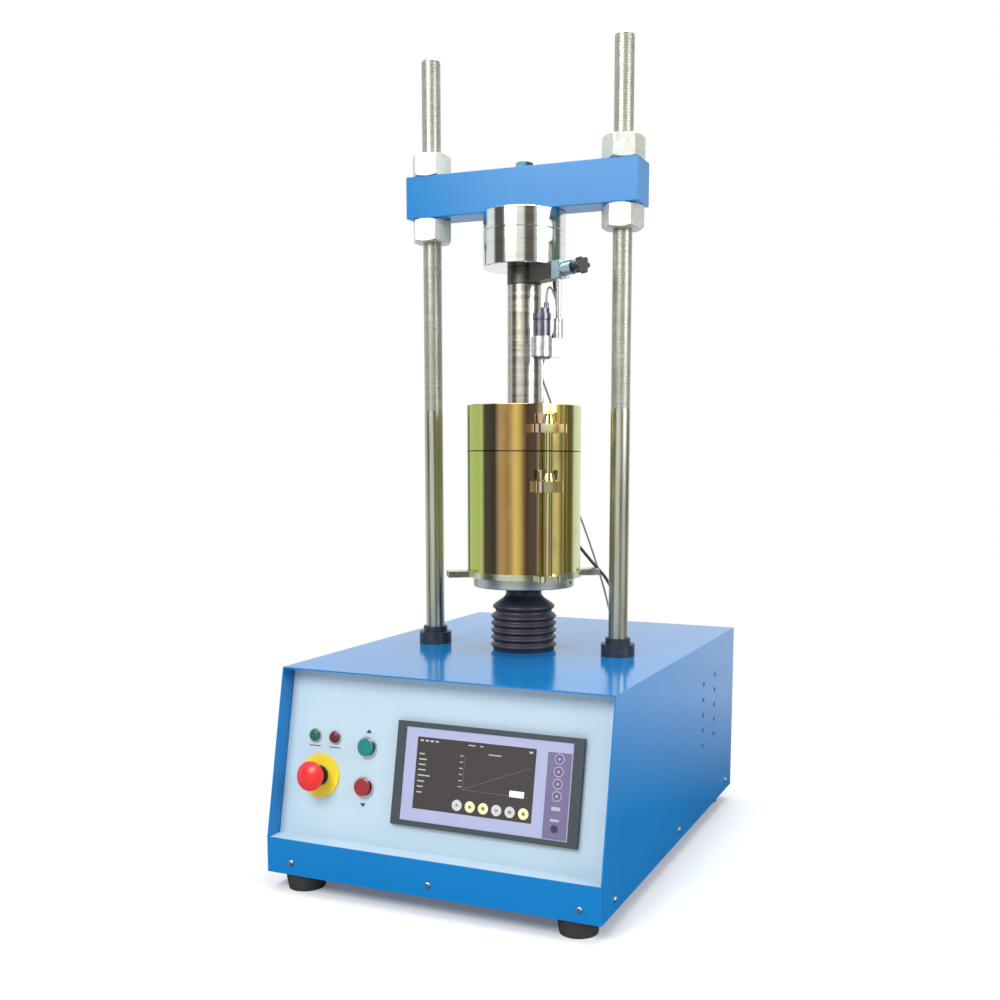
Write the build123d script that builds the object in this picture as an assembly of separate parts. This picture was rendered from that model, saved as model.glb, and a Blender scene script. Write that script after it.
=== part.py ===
from build123d import *
import math
import os

# California bearing ratio apparatus: a screw-driven bench loading frame with a CBR mould in it.
# Millimetres. X right, Y back, Z up. The origin is the bottom centre of the bounding box.

os.makedirs("parts", exist_ok=True)

# Fits
RUN_FIT = 0.05        # radial gap of a shaft that turns or slides
LOOSE_FIT = 0.4       # gap between moving faces that don't guide each other
SEAT_GAP = 0.3        # gap left where a moving piece faces a fixed one

# Cabinet
CABINET_WIDTH = 490.0
FRONT_REACH = 320.0   # machine axis to the front strip
TOP_FRONT_REACH = 274.0
BACK_REACH = 350.0    # machine axis to the back of the hood
GLAND_REACH = 24.0    # mains gland beyond the rear panel
FOOT_HEIGHT = 25.0
STRIP_TOP = 74.0
HOOD_TOP = 304.0
SHEET = 2.0
PANEL_RECESS = 26.0
SCREW_HEAD_HEIGHT = 2.4
AXIS_Y = (FRONT_REACH + SCREW_HEAD_HEIGHT - BACK_REACH - GLAND_REACH) / 2
HALF = CABINET_WIDTH / 2

# Loading frame
COLUMN_X = 152.0
COLUMN_DIAMETER = 28.5
THREAD_DIAMETER = 27.0
PLAIN_RISE = 358.0    # hood to the start of the thread
COLUMN_RISE = 875.0   # hood to the column tops
BEAM_RISE = 644.3     # hood to the crosshead
BRIDGE_DROP = 18.0    # hood to the bridge below it
BRIDGE_DEPTH = 36.0
SPIGOT_DIAMETER = 24.0
BEAM_LENGTH = 365.0
BEAM_DEPTH = 50.0
BEAM_HEIGHT = 60.7
NUT_FLATS = 53.0
NUT_HEIGHT = 33.0

# Load train
CELL_DIAMETER = 122.0
CELL_HEIGHT = 78.6
CELL_COVER_HEIGHT = 28.0
ADAPTER_DIAMETER = 50.0
ADAPTER_HEIGHT = 24.0
PLUNGER_DIAMETER = 49.63
PLUNGER_LENGTH = 249.7

# Mould
MOULD_BORE = 152.4
MOULD_OUTSIDE = 171.0
MOULD_RISE = 112.7    # hood to the mould on its platen
MOULD_BASE_THICK = 9.0
MOULD_BODY_HEIGHT = 178.0
COLLAR_HEIGHT = 67.0
TIE_RADIUS = 101.5
TIE_ANGLE = -46.1
TIE_DIAMETER = 12.0
EAR_ANGLE = 35.0
EAR_LENGTH = 232.0

# Ram and platen
PLATEN_DIAMETER = 152.0
PLATEN_THICK = 15.0
RAM_DIAMETER = 48.0
RAM_THREAD_DIAMETER = 36.0

# Displacement transducer
SPINDLE_RADIUS_OUT = 81.0
SPINDLE_ANGLE = -48.5
ARM_ANGLE = -31.0
ROD_RADIUS_OUT = 84.0
TRANSDUCER_DIAMETER = 24.5
TRANSDUCER_RISE = 62.7  # mould rim to the body of the transducer
TRANSDUCER_BODY_HEIGHT = 54.3

THREAD_START = HOOD_TOP + PLAIN_RISE
COLUMN_TOP = HOOD_TOP + COLUMN_RISE
BRIDGE_TOP = HOOD_TOP - BRIDGE_DROP
BRIDGE_BOTTOM = BRIDGE_TOP - BRIDGE_DEPTH
BEAM_BOTTOM = HOOD_TOP + BEAM_RISE
BEAM_TOP = BEAM_BOTTOM + BEAM_HEIGHT
CELL_TOP = BEAM_BOTTOM
CELL_BOTTOM = CELL_TOP - CELL_HEIGHT
ADAPTER_BOTTOM = CELL_BOTTOM - ADAPTER_HEIGHT
PLUNGER_END = ADAPTER_BOTTOM - PLUNGER_LENGTH
MOULD_BASE_BOTTOM = HOOD_TOP + MOULD_RISE
MOULD_BASE_TOP = MOULD_BASE_BOTTOM + MOULD_BASE_THICK
MOULD_SEAM = MOULD_BASE_TOP + MOULD_BODY_HEIGHT
MOULD_TOP = MOULD_SEAM + COLLAR_HEIGHT
PLATEN_BOTTOM = MOULD_BASE_BOTTOM - PLATEN_THICK
TRANSDUCER_BOTTOM = MOULD_TOP + TRANSDUCER_RISE


def save(name, *solids):
    shape = solids[0] if len(solids) == 1 else Compound(children=list(solids))
    export_step(shape, f"parts/{name}.step")


def rod(diameter, bottom, top, x=0.0, y=0.0):
    height = top - bottom
    shape = Cylinder(diameter / 2, height, align=(Align.CENTER, Align.CENTER, Align.MIN))
    return Pos(x, AXIS_Y + y, bottom) * shape


def bore(diameter, x=0.0, y=0.0):
    return rod(diameter, -COLUMN_TOP, 2 * COLUMN_TOP, x, y)


def block(x0, x1, y0, y1, z0, z1):
    shape = Box(x1 - x0, y1 - y0, z1 - z0)
    return Pos((x0 + x1) / 2, AXIS_Y + (y0 + y1) / 2, (z0 + z1) / 2) * shape


def prism(outline, x0, x1):
    points = [(AXIS_Y + y, z) for y, z in outline]
    face = Plane.YZ.offset(x0) * make_face(Polyline(*points, close=True))
    return extrude(face, x1 - x0, dir=(1, 0, 0))


def hexagon(flats, bottom, top, x=0.0, y=0.0, turn=0.0):
    face = RegularPolygon(flats / math.sqrt(3), 6)
    shape = extrude(face, top - bottom)
    cone_bottom = flats / 2 - (top - bottom) * 0.02
    slope = math.tan(math.radians(30))
    reach = flats / math.sqrt(3) + 1
    drop = (reach - cone_bottom) * slope
    edge = [(0, 0), (cone_bottom, 0), (reach, drop), (reach, top - bottom - drop),
            (cone_bottom, top - bottom), (0, top - bottom)]
    turned = revolve(Plane.XZ * make_face(Polyline(*edge, close=True)), Axis.Z)
    return Pos(x, AXIS_Y + y, bottom) * Rot(0, 0, turn) * (shape & turned)


def polar(radius, angle):
    turn = math.radians(angle)
    return radius * math.cos(turn), radius * math.sin(turn)


def profile_of_revolution(points):
    face = Plane.XZ * make_face(Polyline(*points, close=True))
    return Pos(0, AXIS_Y, 0) * revolve(face, Axis.Z)


# Inclined front: local x across, y up the slope, z out of the panel
SLOPE = math.atan((FRONT_REACH - TOP_FRONT_REACH) / (HOOD_TOP - STRIP_TOP))
OUT = Vector(0, -math.cos(SLOPE), math.sin(SLOPE))
PANEL_ORIGIN = Vector(0, AXIS_Y - TOP_FRONT_REACH, HOOD_TOP) - OUT * PANEL_RECESS
PANEL = Plane(origin=PANEL_ORIGIN, x_dir=(1, 0, 0), z_dir=OUT)


def on_panel(x, down, shape):
    return PANEL.location * Pos(x, -down, 0) * shape


def panel_rod(x, down, diameter, back, front):
    shape = Cylinder(diameter / 2, front - back, align=(Align.CENTER, Align.CENTER, Align.MIN))
    return on_panel(x, down, Pos(0, 0, back) * shape)


def panel_ring(x, down, outside, inside, back, front):
    return (panel_rod(x, down, outside, back, front)
            - panel_rod(x, down, inside, back - 1, front + 1))


def panel_box(x0, x1, down0, down1, back, front):
    shape = Box(x1 - x0, down1 - down0, front - back)
    return on_panel((x0 + x1) / 2, (down0 + down1) / 2, Pos(0, 0, (back + front) / 2) * shape)


# Places on the front panel, the controls from its left side and the display from its right
LAMP_X = (-HALF + 47.0, -HALF + 79.0)
LAMP_DOWN = 91.0
LAMP_DIAMETER = 15.3
BUTTON_X = -HALF + 131.0
UP_DOWN = 99.5
DOWN_DOWN = 153.5
BUTTON_DIAMETER = 23.5
BUTTON_BEZEL = 29.0
BUTTON_TRAVEL = 4.0
BARREL_DIAMETER = 22.3
ESTOP_X = -HALF + 60.5
ESTOP_DOWN = 145.0
ESTOP_RING_DIAMETER = 60.0
ESTOP_HEAD_DIAMETER = 40.0
ESTOP_TRAVEL = 5.0
HMI_LEFT, HMI_RIGHT = BUTTON_X + 48.0, HALF - 44.0
HMI_HIGH, HMI_LOW = 58.0, 196.0
HMI_PROUD = 7.0
FASCIA_MARGIN = 13.5
FASCIA_LOW_MARGIN = 7.0
SCREEN_LEFT, SCREEN_RIGHT = HMI_LEFT + 31.0, HMI_RIGHT - 64.0
SCREEN_HIGH, SCREEN_LOW = HMI_HIGH + 19.0, HMI_LOW - 24.0

# Hood: top, sides and front strip in one folded sheet, open behind and below
side_outline = [(-FRONT_REACH, FOOT_HEIGHT), (-FRONT_REACH, STRIP_TOP), (-TOP_FRONT_REACH, HOOD_TOP),
                (BACK_REACH, HOOD_TOP), (BACK_REACH, FOOT_HEIGHT)]
inner_outline = [(-FRONT_REACH + SHEET, FOOT_HEIGHT - 1), (-FRONT_REACH + SHEET, STRIP_TOP + 200),
                 (-FRONT_REACH - 60, STRIP_TOP + 200), (-FRONT_REACH - 60, HOOD_TOP - SHEET),
                 (BACK_REACH + 1, HOOD_TOP - SHEET), (BACK_REACH + 1, FOOT_HEIGHT - 1)]
front_opening = [(-FRONT_REACH - 60, STRIP_TOP), (-FRONT_REACH + SHEET + 1, STRIP_TOP),
                 (-FRONT_REACH + SHEET + 1, HOOD_TOP - SHEET), (-FRONT_REACH - 60, HOOD_TOP - SHEET)]
hood = prism(side_outline, -HALF, HALF)
hood -= prism(inner_outline, -HALF + SHEET, HALF - SHEET)
hood -= prism(front_opening, -HALF + SHEET, HALF - SHEET)

VENT_DIAMETER = 6.5
VENT_ROWS = 5
VENT_PITCH = 24.8
VENT_COLUMNS = ((130.0, 60.0), (200.0, 64.0))  # ahead of the back, below the top
for side in (-1, 1):
    for ahead, below in VENT_COLUMNS:
        column_y, top_z = BACK_REACH - ahead, HOOD_TOP - below
        for row in range(VENT_ROWS):
            vent = Cylinder(VENT_DIAMETER / 2, 8, rotation=(0, 90, 0))
            hood -= Pos(side * HALF, AXIS_Y + column_y, top_z - row * VENT_PITCH) * vent

GROMMET_X, GROMMET_Y, GROMMET_PITCH = 131.0, 62.0, 15.0
GROMMET_PLACES = [(GROMMET_X - GROMMET_PITCH / 2, GROMMET_Y), (GROMMET_X + GROMMET_PITCH / 2, GROMMET_Y)]
GROMMET_NECK = 9.0
for x, y in GROMMET_PLACES:
    hood -= rod(GROMMET_NECK, BRIDGE_TOP, COLUMN_TOP, x, y)
for side in (-1, 1):
    hood -= rod(COLUMN_DIAMETER + 2, BRIDGE_TOP, COLUMN_TOP, side * COLUMN_X)
HOOD_RAM_HOLE = 80.0
hood -= rod(HOOD_RAM_HOLE, BRIDGE_TOP, COLUMN_TOP)

# Screws along the foot of the hood and through the feet
SCREW_Z = FOOT_HEIGHT + 17.0
SCREW_SHANK = 4.0
SCREW_HEAD = 8.0
SCREW_INSET = 39.0
FRONT_SCREW_X = (-HALF + SCREW_INSET, 5.0, HALF - SCREW_INSET + 10.0)
SIDE_SCREW_Y = (-FRONT_REACH + 48.0, 22.0, BACK_REACH - 38.0)
REAR_SCREW_X = (-HALF + SCREW_INSET, HALF - SCREW_INSET)


def screw(x, y, z, direction):
    head = Cylinder(SCREW_HEAD / 2, SCREW_HEAD_HEIGHT, align=(Align.CENTER, Align.CENTER, Align.MIN))
    head = chamfer(head.edges().group_by(Axis.Z)[-1], 1.2)
    shank = Pos(0, 0, -9) * Cylinder(SCREW_SHANK / 2, 9, align=(Align.CENTER, Align.CENTER, Align.MIN))
    return Plane(origin=(x, AXIS_Y + y, z), z_dir=direction).location * (head + shank)


def screw_hole(x, y, z, direction):
    hole = Cylinder(SCREW_SHANK / 2 + RUN_FIT, 40)
    return Plane(origin=(x, AXIS_Y + y, z), z_dir=direction).location * hole


case_screw_places = [(x, -FRONT_REACH, SCREW_Z, (0, -1, 0)) for x in FRONT_SCREW_X]
for side in (-1, 1):
    case_screw_places += [(side * HALF, y, SCREW_Z, (side, 0, 0)) for y in SIDE_SCREW_Y]
rear_screw_places = [(x, BACK_REACH, SCREW_Z, (0, 1, 0)) for x in REAR_SCREW_X]
for place in case_screw_places:
    hood -= screw_hole(*place)

# Base tray with upturned walls inside the hood
TRAY_WALL = 30.0
tray_gap = SHEET + LOOSE_FIT
tray_x = HALF - tray_gap
tray_front, tray_back = -FRONT_REACH + tray_gap, BACK_REACH - tray_gap
base_tray = block(-tray_x, tray_x, tray_front, tray_back, FOOT_HEIGHT, FOOT_HEIGHT + TRAY_WALL)
base_tray -= block(-tray_x + SHEET, tray_x - SHEET, tray_front + SHEET, tray_back - SHEET,
                   FOOT_HEIGHT + SHEET, FOOT_HEIGHT + TRAY_WALL + 1)
for place in case_screw_places + rear_screw_places:
    base_tray -= screw_hole(*place)

# Front panel: inclined sheet with a foot that folds forward to the strip
panel_x = HALF - SHEET - LOOSE_FIT
foot_z = STRIP_TOP - SHEET - LOOSE_FIT
cos_s, sin_s = math.cos(SLOPE), math.sin(SLOPE)
top_y = PANEL_ORIGIN.Y - AXIS_Y
top_z = PANEL_ORIGIN.Z


def slope_point(down, behind=0.0):
    return (top_y - down * sin_s + behind * cos_s, top_z - down * cos_s - behind * sin_s)


top_down = (top_z - (HOOD_TOP - SHEET - LOOSE_FIT)) / cos_s
low_down = (top_z - foot_z - SHEET) / cos_s
back_low_down = (top_z - foot_z) / cos_s
panel_outline = [slope_point(top_down), slope_point(low_down),
                 (-FRONT_REACH + SHEET + LOOSE_FIT, foot_z + SHEET),
                 (-FRONT_REACH + SHEET + LOOSE_FIT, foot_z),
                 slope_point(back_low_down + 0.4, SHEET), slope_point(top_down + 0.4, SHEET)]
front_panel = prism(panel_outline, -panel_x, panel_x)
CUT = 0.3
HMI_BODY_MARGIN = 9.0
hmi_body = (HMI_LEFT + HMI_BODY_MARGIN, HMI_RIGHT - HMI_BODY_MARGIN,
            HMI_HIGH + HMI_BODY_MARGIN, HMI_LOW - HMI_BODY_MARGIN)
front_panel -= panel_box(hmi_body[0] - CUT, hmi_body[1] + CUT, hmi_body[2] - CUT, hmi_body[3] + CUT,
                         -20, 20)
LAMP_BARREL = 12.0
for x in LAMP_X:
    front_panel -= panel_rod(x, LAMP_DOWN, LAMP_BARREL + 0.2, -20, 20)
for x, down in ((BUTTON_X, UP_DOWN), (BUTTON_X, DOWN_DOWN), (ESTOP_X, ESTOP_DOWN)):
    front_panel -= panel_rod(x, down, BARREL_DIAMETER + 0.2, -20, 20)

# Rear panel with its vent slots and the mains gland hole
REAR_GLAND_X, REAR_GLAND_Z = -HALF + 85.0, FOOT_HEIGHT + 53.0
GLAND_THREAD = 20.0
rear_x = HALF - SHEET - LOOSE_FIT
rear_z0, rear_z1 = FOOT_HEIGHT, HOOD_TOP - SHEET - LOOSE_FIT
rear_panel = block(-rear_x, rear_x, BACK_REACH - SHEET, BACK_REACH, rear_z0, rear_z1)
SLOT_ROWS = 6
SLOT_PITCH = 16.0
SLOT_HEIGHT = 5.0
SLOT_LENGTH = 70.0
SLOT_GAP = 20.0
SLOT_INSET = 60.0     # from the right side of the hood
SLOT_DROP = 149.0     # hood top to the lowest slot
for row in range(SLOT_ROWS):
    slot_z = HOOD_TOP - SLOT_DROP + row * SLOT_PITCH
    for column in range(2):
        slot_x = HALF - SLOT_INSET - column * (SLOT_LENGTH + SLOT_GAP)
        rear_panel -= block(slot_x - SLOT_LENGTH, slot_x, BACK_REACH - 10, BACK_REACH + 10,
                            slot_z - SLOT_HEIGHT, slot_z)
gland_axis = Plane(origin=(REAR_GLAND_X, AXIS_Y + BACK_REACH, REAR_GLAND_Z), z_dir=(0, 1, 0)).location
rear_panel -= gland_axis * Cylinder(GLAND_THREAD / 2 + 0.1, 20)
for place in rear_screw_places:
    rear_panel -= screw_hole(*place)

# Mains gland and the two cable grommets on the hood
GLAND_BORE = 9.0
up_align = (Align.CENTER, Align.CENTER, Align.MIN)
gland = Cylinder(14.5, 5, align=up_align) + Pos(0, 0, 5) * extrude(RegularPolygon(13.5, 6), 7)
gland += Pos(0, 0, 12) * Cylinder(11.5, 8, align=up_align) + Pos(0, 0, 20) * Cone(11.5, 8.5, 4, align=up_align)
gland += Pos(0, 0, -12) * Cylinder(GLAND_THREAD / 2, 12, align=up_align)
gland += Pos(0, 0, -10) * Cylinder(14, 6, align=up_align)
gland -= Cylinder(GLAND_BORE / 2, 80)
cable_glands = [gland_axis * gland]
GROMMET_BORES = (3.5, 5.5)
for (x, y), cable_hole in zip(GROMMET_PLACES, GROMMET_BORES):
    grommet = rod(GROMMET_NECK - 0.2, HOOD_TOP - 6, HOOD_TOP + 1, x, y)
    grommet += rod(13.5, HOOD_TOP, HOOD_TOP + 4, x, y) + rod(12.5, HOOD_TOP - 6, HOOD_TOP - SHEET, x, y)
    cable_glands.append(grommet - rod(cable_hole, HOOD_TOP - 20, HOOD_TOP + 20, x, y))

# Feet and the bolts through them
FOOT_DIAMETER = 58.0
FOOT_X = HALF - 42.0
FOOT_INSET = 32.0
FOOT_Y = (-FRONT_REACH + FOOT_INSET, BACK_REACH - FOOT_INSET)
FOOT_BOLT = 8.0
foot_places = [(side * FOOT_X, y) for side in (-1, 1) for y in FOOT_Y]
feet, foot_bolts = [], []
for x, y in foot_places:
    foot = Pos(x, AXIS_Y + y, 0) * Cone(FOOT_DIAMETER / 2 - 4, FOOT_DIAMETER / 2, FOOT_HEIGHT, align=up_align)
    foot -= rod(22, -1, 12, x, y) + rod(FOOT_BOLT + 0.2, 0, FOOT_HEIGHT + 1, x, y)
    feet.append(foot)
    foot_bolts.append(hexagon(13, 6.5, 12, x, y) + rod(FOOT_BOLT, 10, FOOT_HEIGHT + 12, x, y)
                      + hexagon(13, FOOT_HEIGHT + SHEET, FOOT_HEIGHT + SHEET + 6.5, x, y))
    base_tray -= bore(FOOT_BOLT + 0.2, x, y)

screws = [screw(*place) for place in case_screw_places + rear_screw_places] + foot_bolts

# Lower frame: base plate and legs welded in one, carrying the bridge
LEG_THICK = 14.0
LEG_X0 = COLUMN_X + 32.0
LEG_X1 = LEG_X0 + LEG_THICK
LEG_HALF = 55.0
FRAME_PLATE = 12.0
PLATE_MARGIN = 15.0
frame_plate_low = FOOT_HEIGHT + SHEET
frame_plate_top = frame_plate_low + FRAME_PLATE
plate_half = LEG_HALF + PLATE_MARGIN
lower_frame = block(-LEG_X1, LEG_X1, -plate_half, plate_half, frame_plate_low, frame_plate_top)
for side in (-1, 1):
    x0, x1 = sorted((side * LEG_X0, side * LEG_X1))
    lower_frame += block(x0, x1, -LEG_HALF, LEG_HALF, frame_plate_top, BRIDGE_BOTTOM)

lower_bridge = block(-LEG_X1, LEG_X1, -LEG_HALF, LEG_HALF, BRIDGE_BOTTOM, BRIDGE_TOP)
lower_bridge -= bore(RAM_DIAMETER + 2)
for side in (-1, 1):
    lower_bridge -= bore(SPIGOT_DIAMETER + 2 * RUN_FIT, side * COLUMN_X)

# Columns: spigot in the bridge, plain shank, threaded upper half
BASE_NUT_FLATS = 36.0
BASE_NUT_HEIGHT = 19.0
SPIGOT_BOTTOM = BRIDGE_BOTTOM - BASE_NUT_HEIGHT - 9.0
COLLAR_DIAMETER = 50.0
COLLAR_LIP_DIAMETER = 37.0
COLLAR_STEP = HOOD_TOP + 18.0
COLLAR_TOP = COLLAR_STEP + 9.0
columns, column_collars, column_base_nuts = [], [], []
for side in (-1, 1):
    x = side * COLUMN_X
    column = rod(SPIGOT_DIAMETER, SPIGOT_BOTTOM, BRIDGE_TOP, x)
    column += rod(COLUMN_DIAMETER, BRIDGE_TOP, THREAD_START, x)
    threaded = rod(THREAD_DIAMETER, THREAD_START, COLUMN_TOP, x)
    column += chamfer(threaded.edges().group_by(Axis.Z)[-1], 2.5)
    columns.append(column)
    collar = rod(COLLAR_DIAMETER, HOOD_TOP, COLLAR_STEP, x)
    collar += rod(COLLAR_LIP_DIAMETER, COLLAR_STEP, COLLAR_TOP, x)
    column_collars.append(collar - rod(COLUMN_DIAMETER + 2 * RUN_FIT, HOOD_TOP - 1, COLLAR_TOP + 1, x))
    nut = hexagon(BASE_NUT_FLATS, BRIDGE_BOTTOM - BASE_NUT_HEIGHT, BRIDGE_BOTTOM, x)
    column_base_nuts.append(nut - bore(SPIGOT_DIAMETER + 2 * RUN_FIT, x))

# Jack: housing under the bridge, ram screw, rotating nut with its pulley, belt and motor
JACK_HALF = 62.0
JACK_HEIGHT = 110.0
JACK_BOTTOM = BRIDGE_BOTTOM - JACK_HEIGHT
NUT_HUB = 60.0
NUT_HUB_TOP = JACK_BOTTOM + 54.0
PULLEY_WIDTH = 24.0
PULLEY_HIGH = JACK_BOTTOM - 6.0
PULLEY_LOW = PULLEY_HIGH - PULLEY_WIDTH
FLANGE = 2.0
jack_housing = block(-JACK_HALF, JACK_HALF, -JACK_HALF, JACK_HALF, JACK_BOTTOM, BRIDGE_BOTTOM)
jack_housing -= bore(RAM_DIAMETER + 2 * RUN_FIT)
jack_housing -= rod(NUT_HUB + 2 * RUN_FIT, JACK_BOTTOM - 1, NUT_HUB_TOP + 1)

RAM_BOTTOM = PULLEY_LOW - 35.0
RAM_SHOULDER = BRIDGE_BOTTOM - 18.0
ram_screw = rod(RAM_DIAMETER, RAM_SHOULDER, PLATEN_BOTTOM)
ram_screw += rod(RAM_THREAD_DIAMETER, RAM_BOTTOM, RAM_SHOULDER)

JACK_PULLEY = 104.0
MOTOR_PULLEY = 36.0
MOTOR_Y = 150.0
jack_pulley_nut = rod(NUT_HUB, PULLEY_LOW, NUT_HUB_TOP) + rod(JACK_PULLEY, PULLEY_LOW, PULLEY_HIGH)
jack_pulley_nut += rod(JACK_PULLEY + 4 * FLANGE, PULLEY_LOW, PULLEY_LOW + FLANGE)
jack_pulley_nut += rod(JACK_PULLEY + 4 * FLANGE, PULLEY_HIGH - FLANGE, PULLEY_HIGH)
jack_pulley_nut -= bore(RAM_THREAD_DIAMETER + 2 * RUN_FIT)
MOTOR_SHAFT = 12.0
motor_pulley = rod(MOTOR_PULLEY, PULLEY_LOW, PULLEY_HIGH, 0, MOTOR_Y)
motor_pulley += rod(MOTOR_PULLEY + 7, PULLEY_LOW, PULLEY_LOW + FLANGE, 0, MOTOR_Y)
motor_pulley += rod(MOTOR_PULLEY + 7, PULLEY_HIGH - FLANGE, PULLEY_HIGH, 0, MOTOR_Y)
motor_pulley -= bore(MOTOR_SHAFT + 2 * RUN_FIT, 0, MOTOR_Y)

BELT_THICK = 3.0


def belt_loop(radius_a, radius_b, distance):
    lean = math.asin((radius_a - radius_b) / distance)
    along, across = math.sin(lean), math.cos(lean)
    right_a, left_a = (radius_a * across, radius_a * along), (-radius_a * across, radius_a * along)
    right_b = (radius_b * across, distance + radius_b * along)
    left_b = (-radius_b * across, distance + radius_b * along)
    near = ThreePointArc(left_a, (0, -radius_a), right_a)
    far = ThreePointArc(right_b, (0, distance + radius_b), left_b)
    return make_face([near, Line(right_a, right_b), far, Line(left_b, left_a)])


belt_inside = (JACK_PULLEY / 2 + LOOSE_FIT, MOTOR_PULLEY / 2 + LOOSE_FIT)
belt_outer = belt_loop(belt_inside[0] + BELT_THICK, belt_inside[1] + BELT_THICK, MOTOR_Y)
belt_inner = belt_loop(belt_inside[0], belt_inside[1], MOTOR_Y)
belt_margin = 1.5 * FLANGE
belt_height = PULLEY_WIDTH - 2 * belt_margin
timing_belt = Pos(0, AXIS_Y, PULLEY_LOW + belt_margin) * extrude(belt_outer - belt_inner, belt_height)

MOTOR_DIAMETER = 88.0
MOTOR_LENGTH = 118.0
MOTOR_CAP_DIAMETER, MOTOR_CAP_HEIGHT = 60.0, 10.0
MOTOR_SPIGOT_DIAMETER, MOTOR_SPIGOT_HEIGHT = 39.8, 6.0
BRACKET_PLATE = 8.0
BRACKET_BACK_PLATE = 10.0
BRACKET_HEIGHT = 73.0
BRACKET_LOW = JACK_BOTTOM + 2.0
bracket_half = MOTOR_DIAMETER / 2 + 4
motor_floor = BRACKET_LOW + BRACKET_PLATE
motor_end = motor_floor + MOTOR_LENGTH
motor_bracket = block(-bracket_half, bracket_half, JACK_HALF, MOTOR_Y + bracket_half + 2,
                      BRACKET_LOW, motor_floor)
motor_bracket += block(-bracket_half, bracket_half, JACK_HALF, JACK_HALF + BRACKET_BACK_PLATE,
                       BRACKET_LOW, BRACKET_LOW + BRACKET_HEIGHT)
motor_bracket -= bore(MOTOR_SPIGOT_DIAMETER + 0.2, 0, MOTOR_Y)
drive_motor = rod(MOTOR_DIAMETER, motor_floor, motor_end, 0, MOTOR_Y)
drive_motor += rod(MOTOR_CAP_DIAMETER, motor_end, motor_end + MOTOR_CAP_HEIGHT, 0, MOTOR_Y)
drive_motor += rod(MOTOR_SPIGOT_DIAMETER, motor_floor - MOTOR_SPIGOT_HEIGHT, motor_floor, 0, MOTOR_Y)
drive_motor += rod(MOTOR_SHAFT, PULLEY_LOW + FLANGE, motor_floor, 0, MOTOR_Y)

STANDOFF_HEIGHT = 6.0
STANDOFF_DIAMETER = 8.0
STANDOFF_INSET = 10.0
ELECTRONICS_HEIGHT = 87.0
case_x = (-HALF + 30, -bracket_half - 47)
case_y = (plate_half + 40, BACK_REACH - 60)
case_z = frame_plate_low + STANDOFF_HEIGHT
drive_electronics = block(*case_x, *case_y, case_z, case_z + ELECTRONICS_HEIGHT)
for x in (case_x[0] + STANDOFF_INSET, case_x[1] - STANDOFF_INSET):
    for y in (case_y[0] + STANDOFF_INSET, case_y[1] - STANDOFF_INSET):
        drive_electronics += rod(STANDOFF_DIAMETER, frame_plate_low, case_z, x, y)

# Operator panel: housing with its bezel, fascia and screen
hmi_housing = panel_box(HMI_LEFT, HMI_RIGHT, HMI_HIGH, HMI_LOW, 0, HMI_PROUD)
hmi_housing += panel_box(*hmi_body, -34, 0)
fascia = (HMI_LEFT + FASCIA_MARGIN, HMI_RIGHT - FASCIA_MARGIN, HMI_HIGH + FASCIA_LOW_MARGIN,
          HMI_LOW - FASCIA_LOW_MARGIN)
hmi_housing -= panel_box(*fascia, HMI_PROUD - 2.5, HMI_PROUD + 1)
hmi_fascia = panel_box(fascia[0] + 0.2, fascia[1] - 0.2, fascia[2] + 0.2, fascia[3] - 0.2,
                       HMI_PROUD - 2.5, HMI_PROUD - 0.7)
screen = (SCREEN_LEFT, SCREEN_RIGHT, SCREEN_HIGH, SCREEN_LOW)
hmi_fascia -= panel_box(*screen, 0, HMI_PROUD + 1)
hmi_screen = panel_box(SCREEN_LEFT + 0.2, SCREEN_RIGHT - 0.2, SCREEN_HIGH + 0.2, SCREEN_LOW - 0.2,
                       HMI_PROUD - 2.5, HMI_PROUD - 1.2)

# Lamps
BEZEL_PROUD = 2.5
control_bezels, lamp_lenses = [], []
for x in LAMP_X:
    bezel = panel_ring(x, LAMP_DOWN, 19, LAMP_DIAMETER + 0.2, 0, BEZEL_PROUD)
    bezel += panel_ring(x, LAMP_DOWN, LAMP_BARREL, 9, -26, 0)
    bezel += panel_ring(x, LAMP_DOWN, 19, 9, 0, 0.8)
    control_bezels.append(bezel)
    lens = panel_rod(x, LAMP_DOWN, LAMP_DIAMETER, 0.8, 6.5)
    lamp_lenses.append(fillet(lens.faces().sort_by(Axis((0, 0, 0), tuple(OUT)))[-1].edges(), 3.5))

# Push buttons: bezel ring, cap with its stem, contact block behind the panel
STEM_DIAMETER = 12.0
BUTTON_TOP = 9.0
SOCKET_WIDTH, SOCKET_HEIGHT, SOCKET_DEPTH = 30.0, 40.0, 30.0
BARREL_LENGTH = 24.0


def contact_socket(x, down, extra_depth=0.0):
    return panel_box(x - SOCKET_WIDTH / 2, x + SOCKET_WIDTH / 2, down - SOCKET_HEIGHT / 2,
                     down + SOCKET_HEIGHT / 2, -BARREL_LENGTH - SOCKET_DEPTH - extra_depth, -BARREL_LENGTH)


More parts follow.
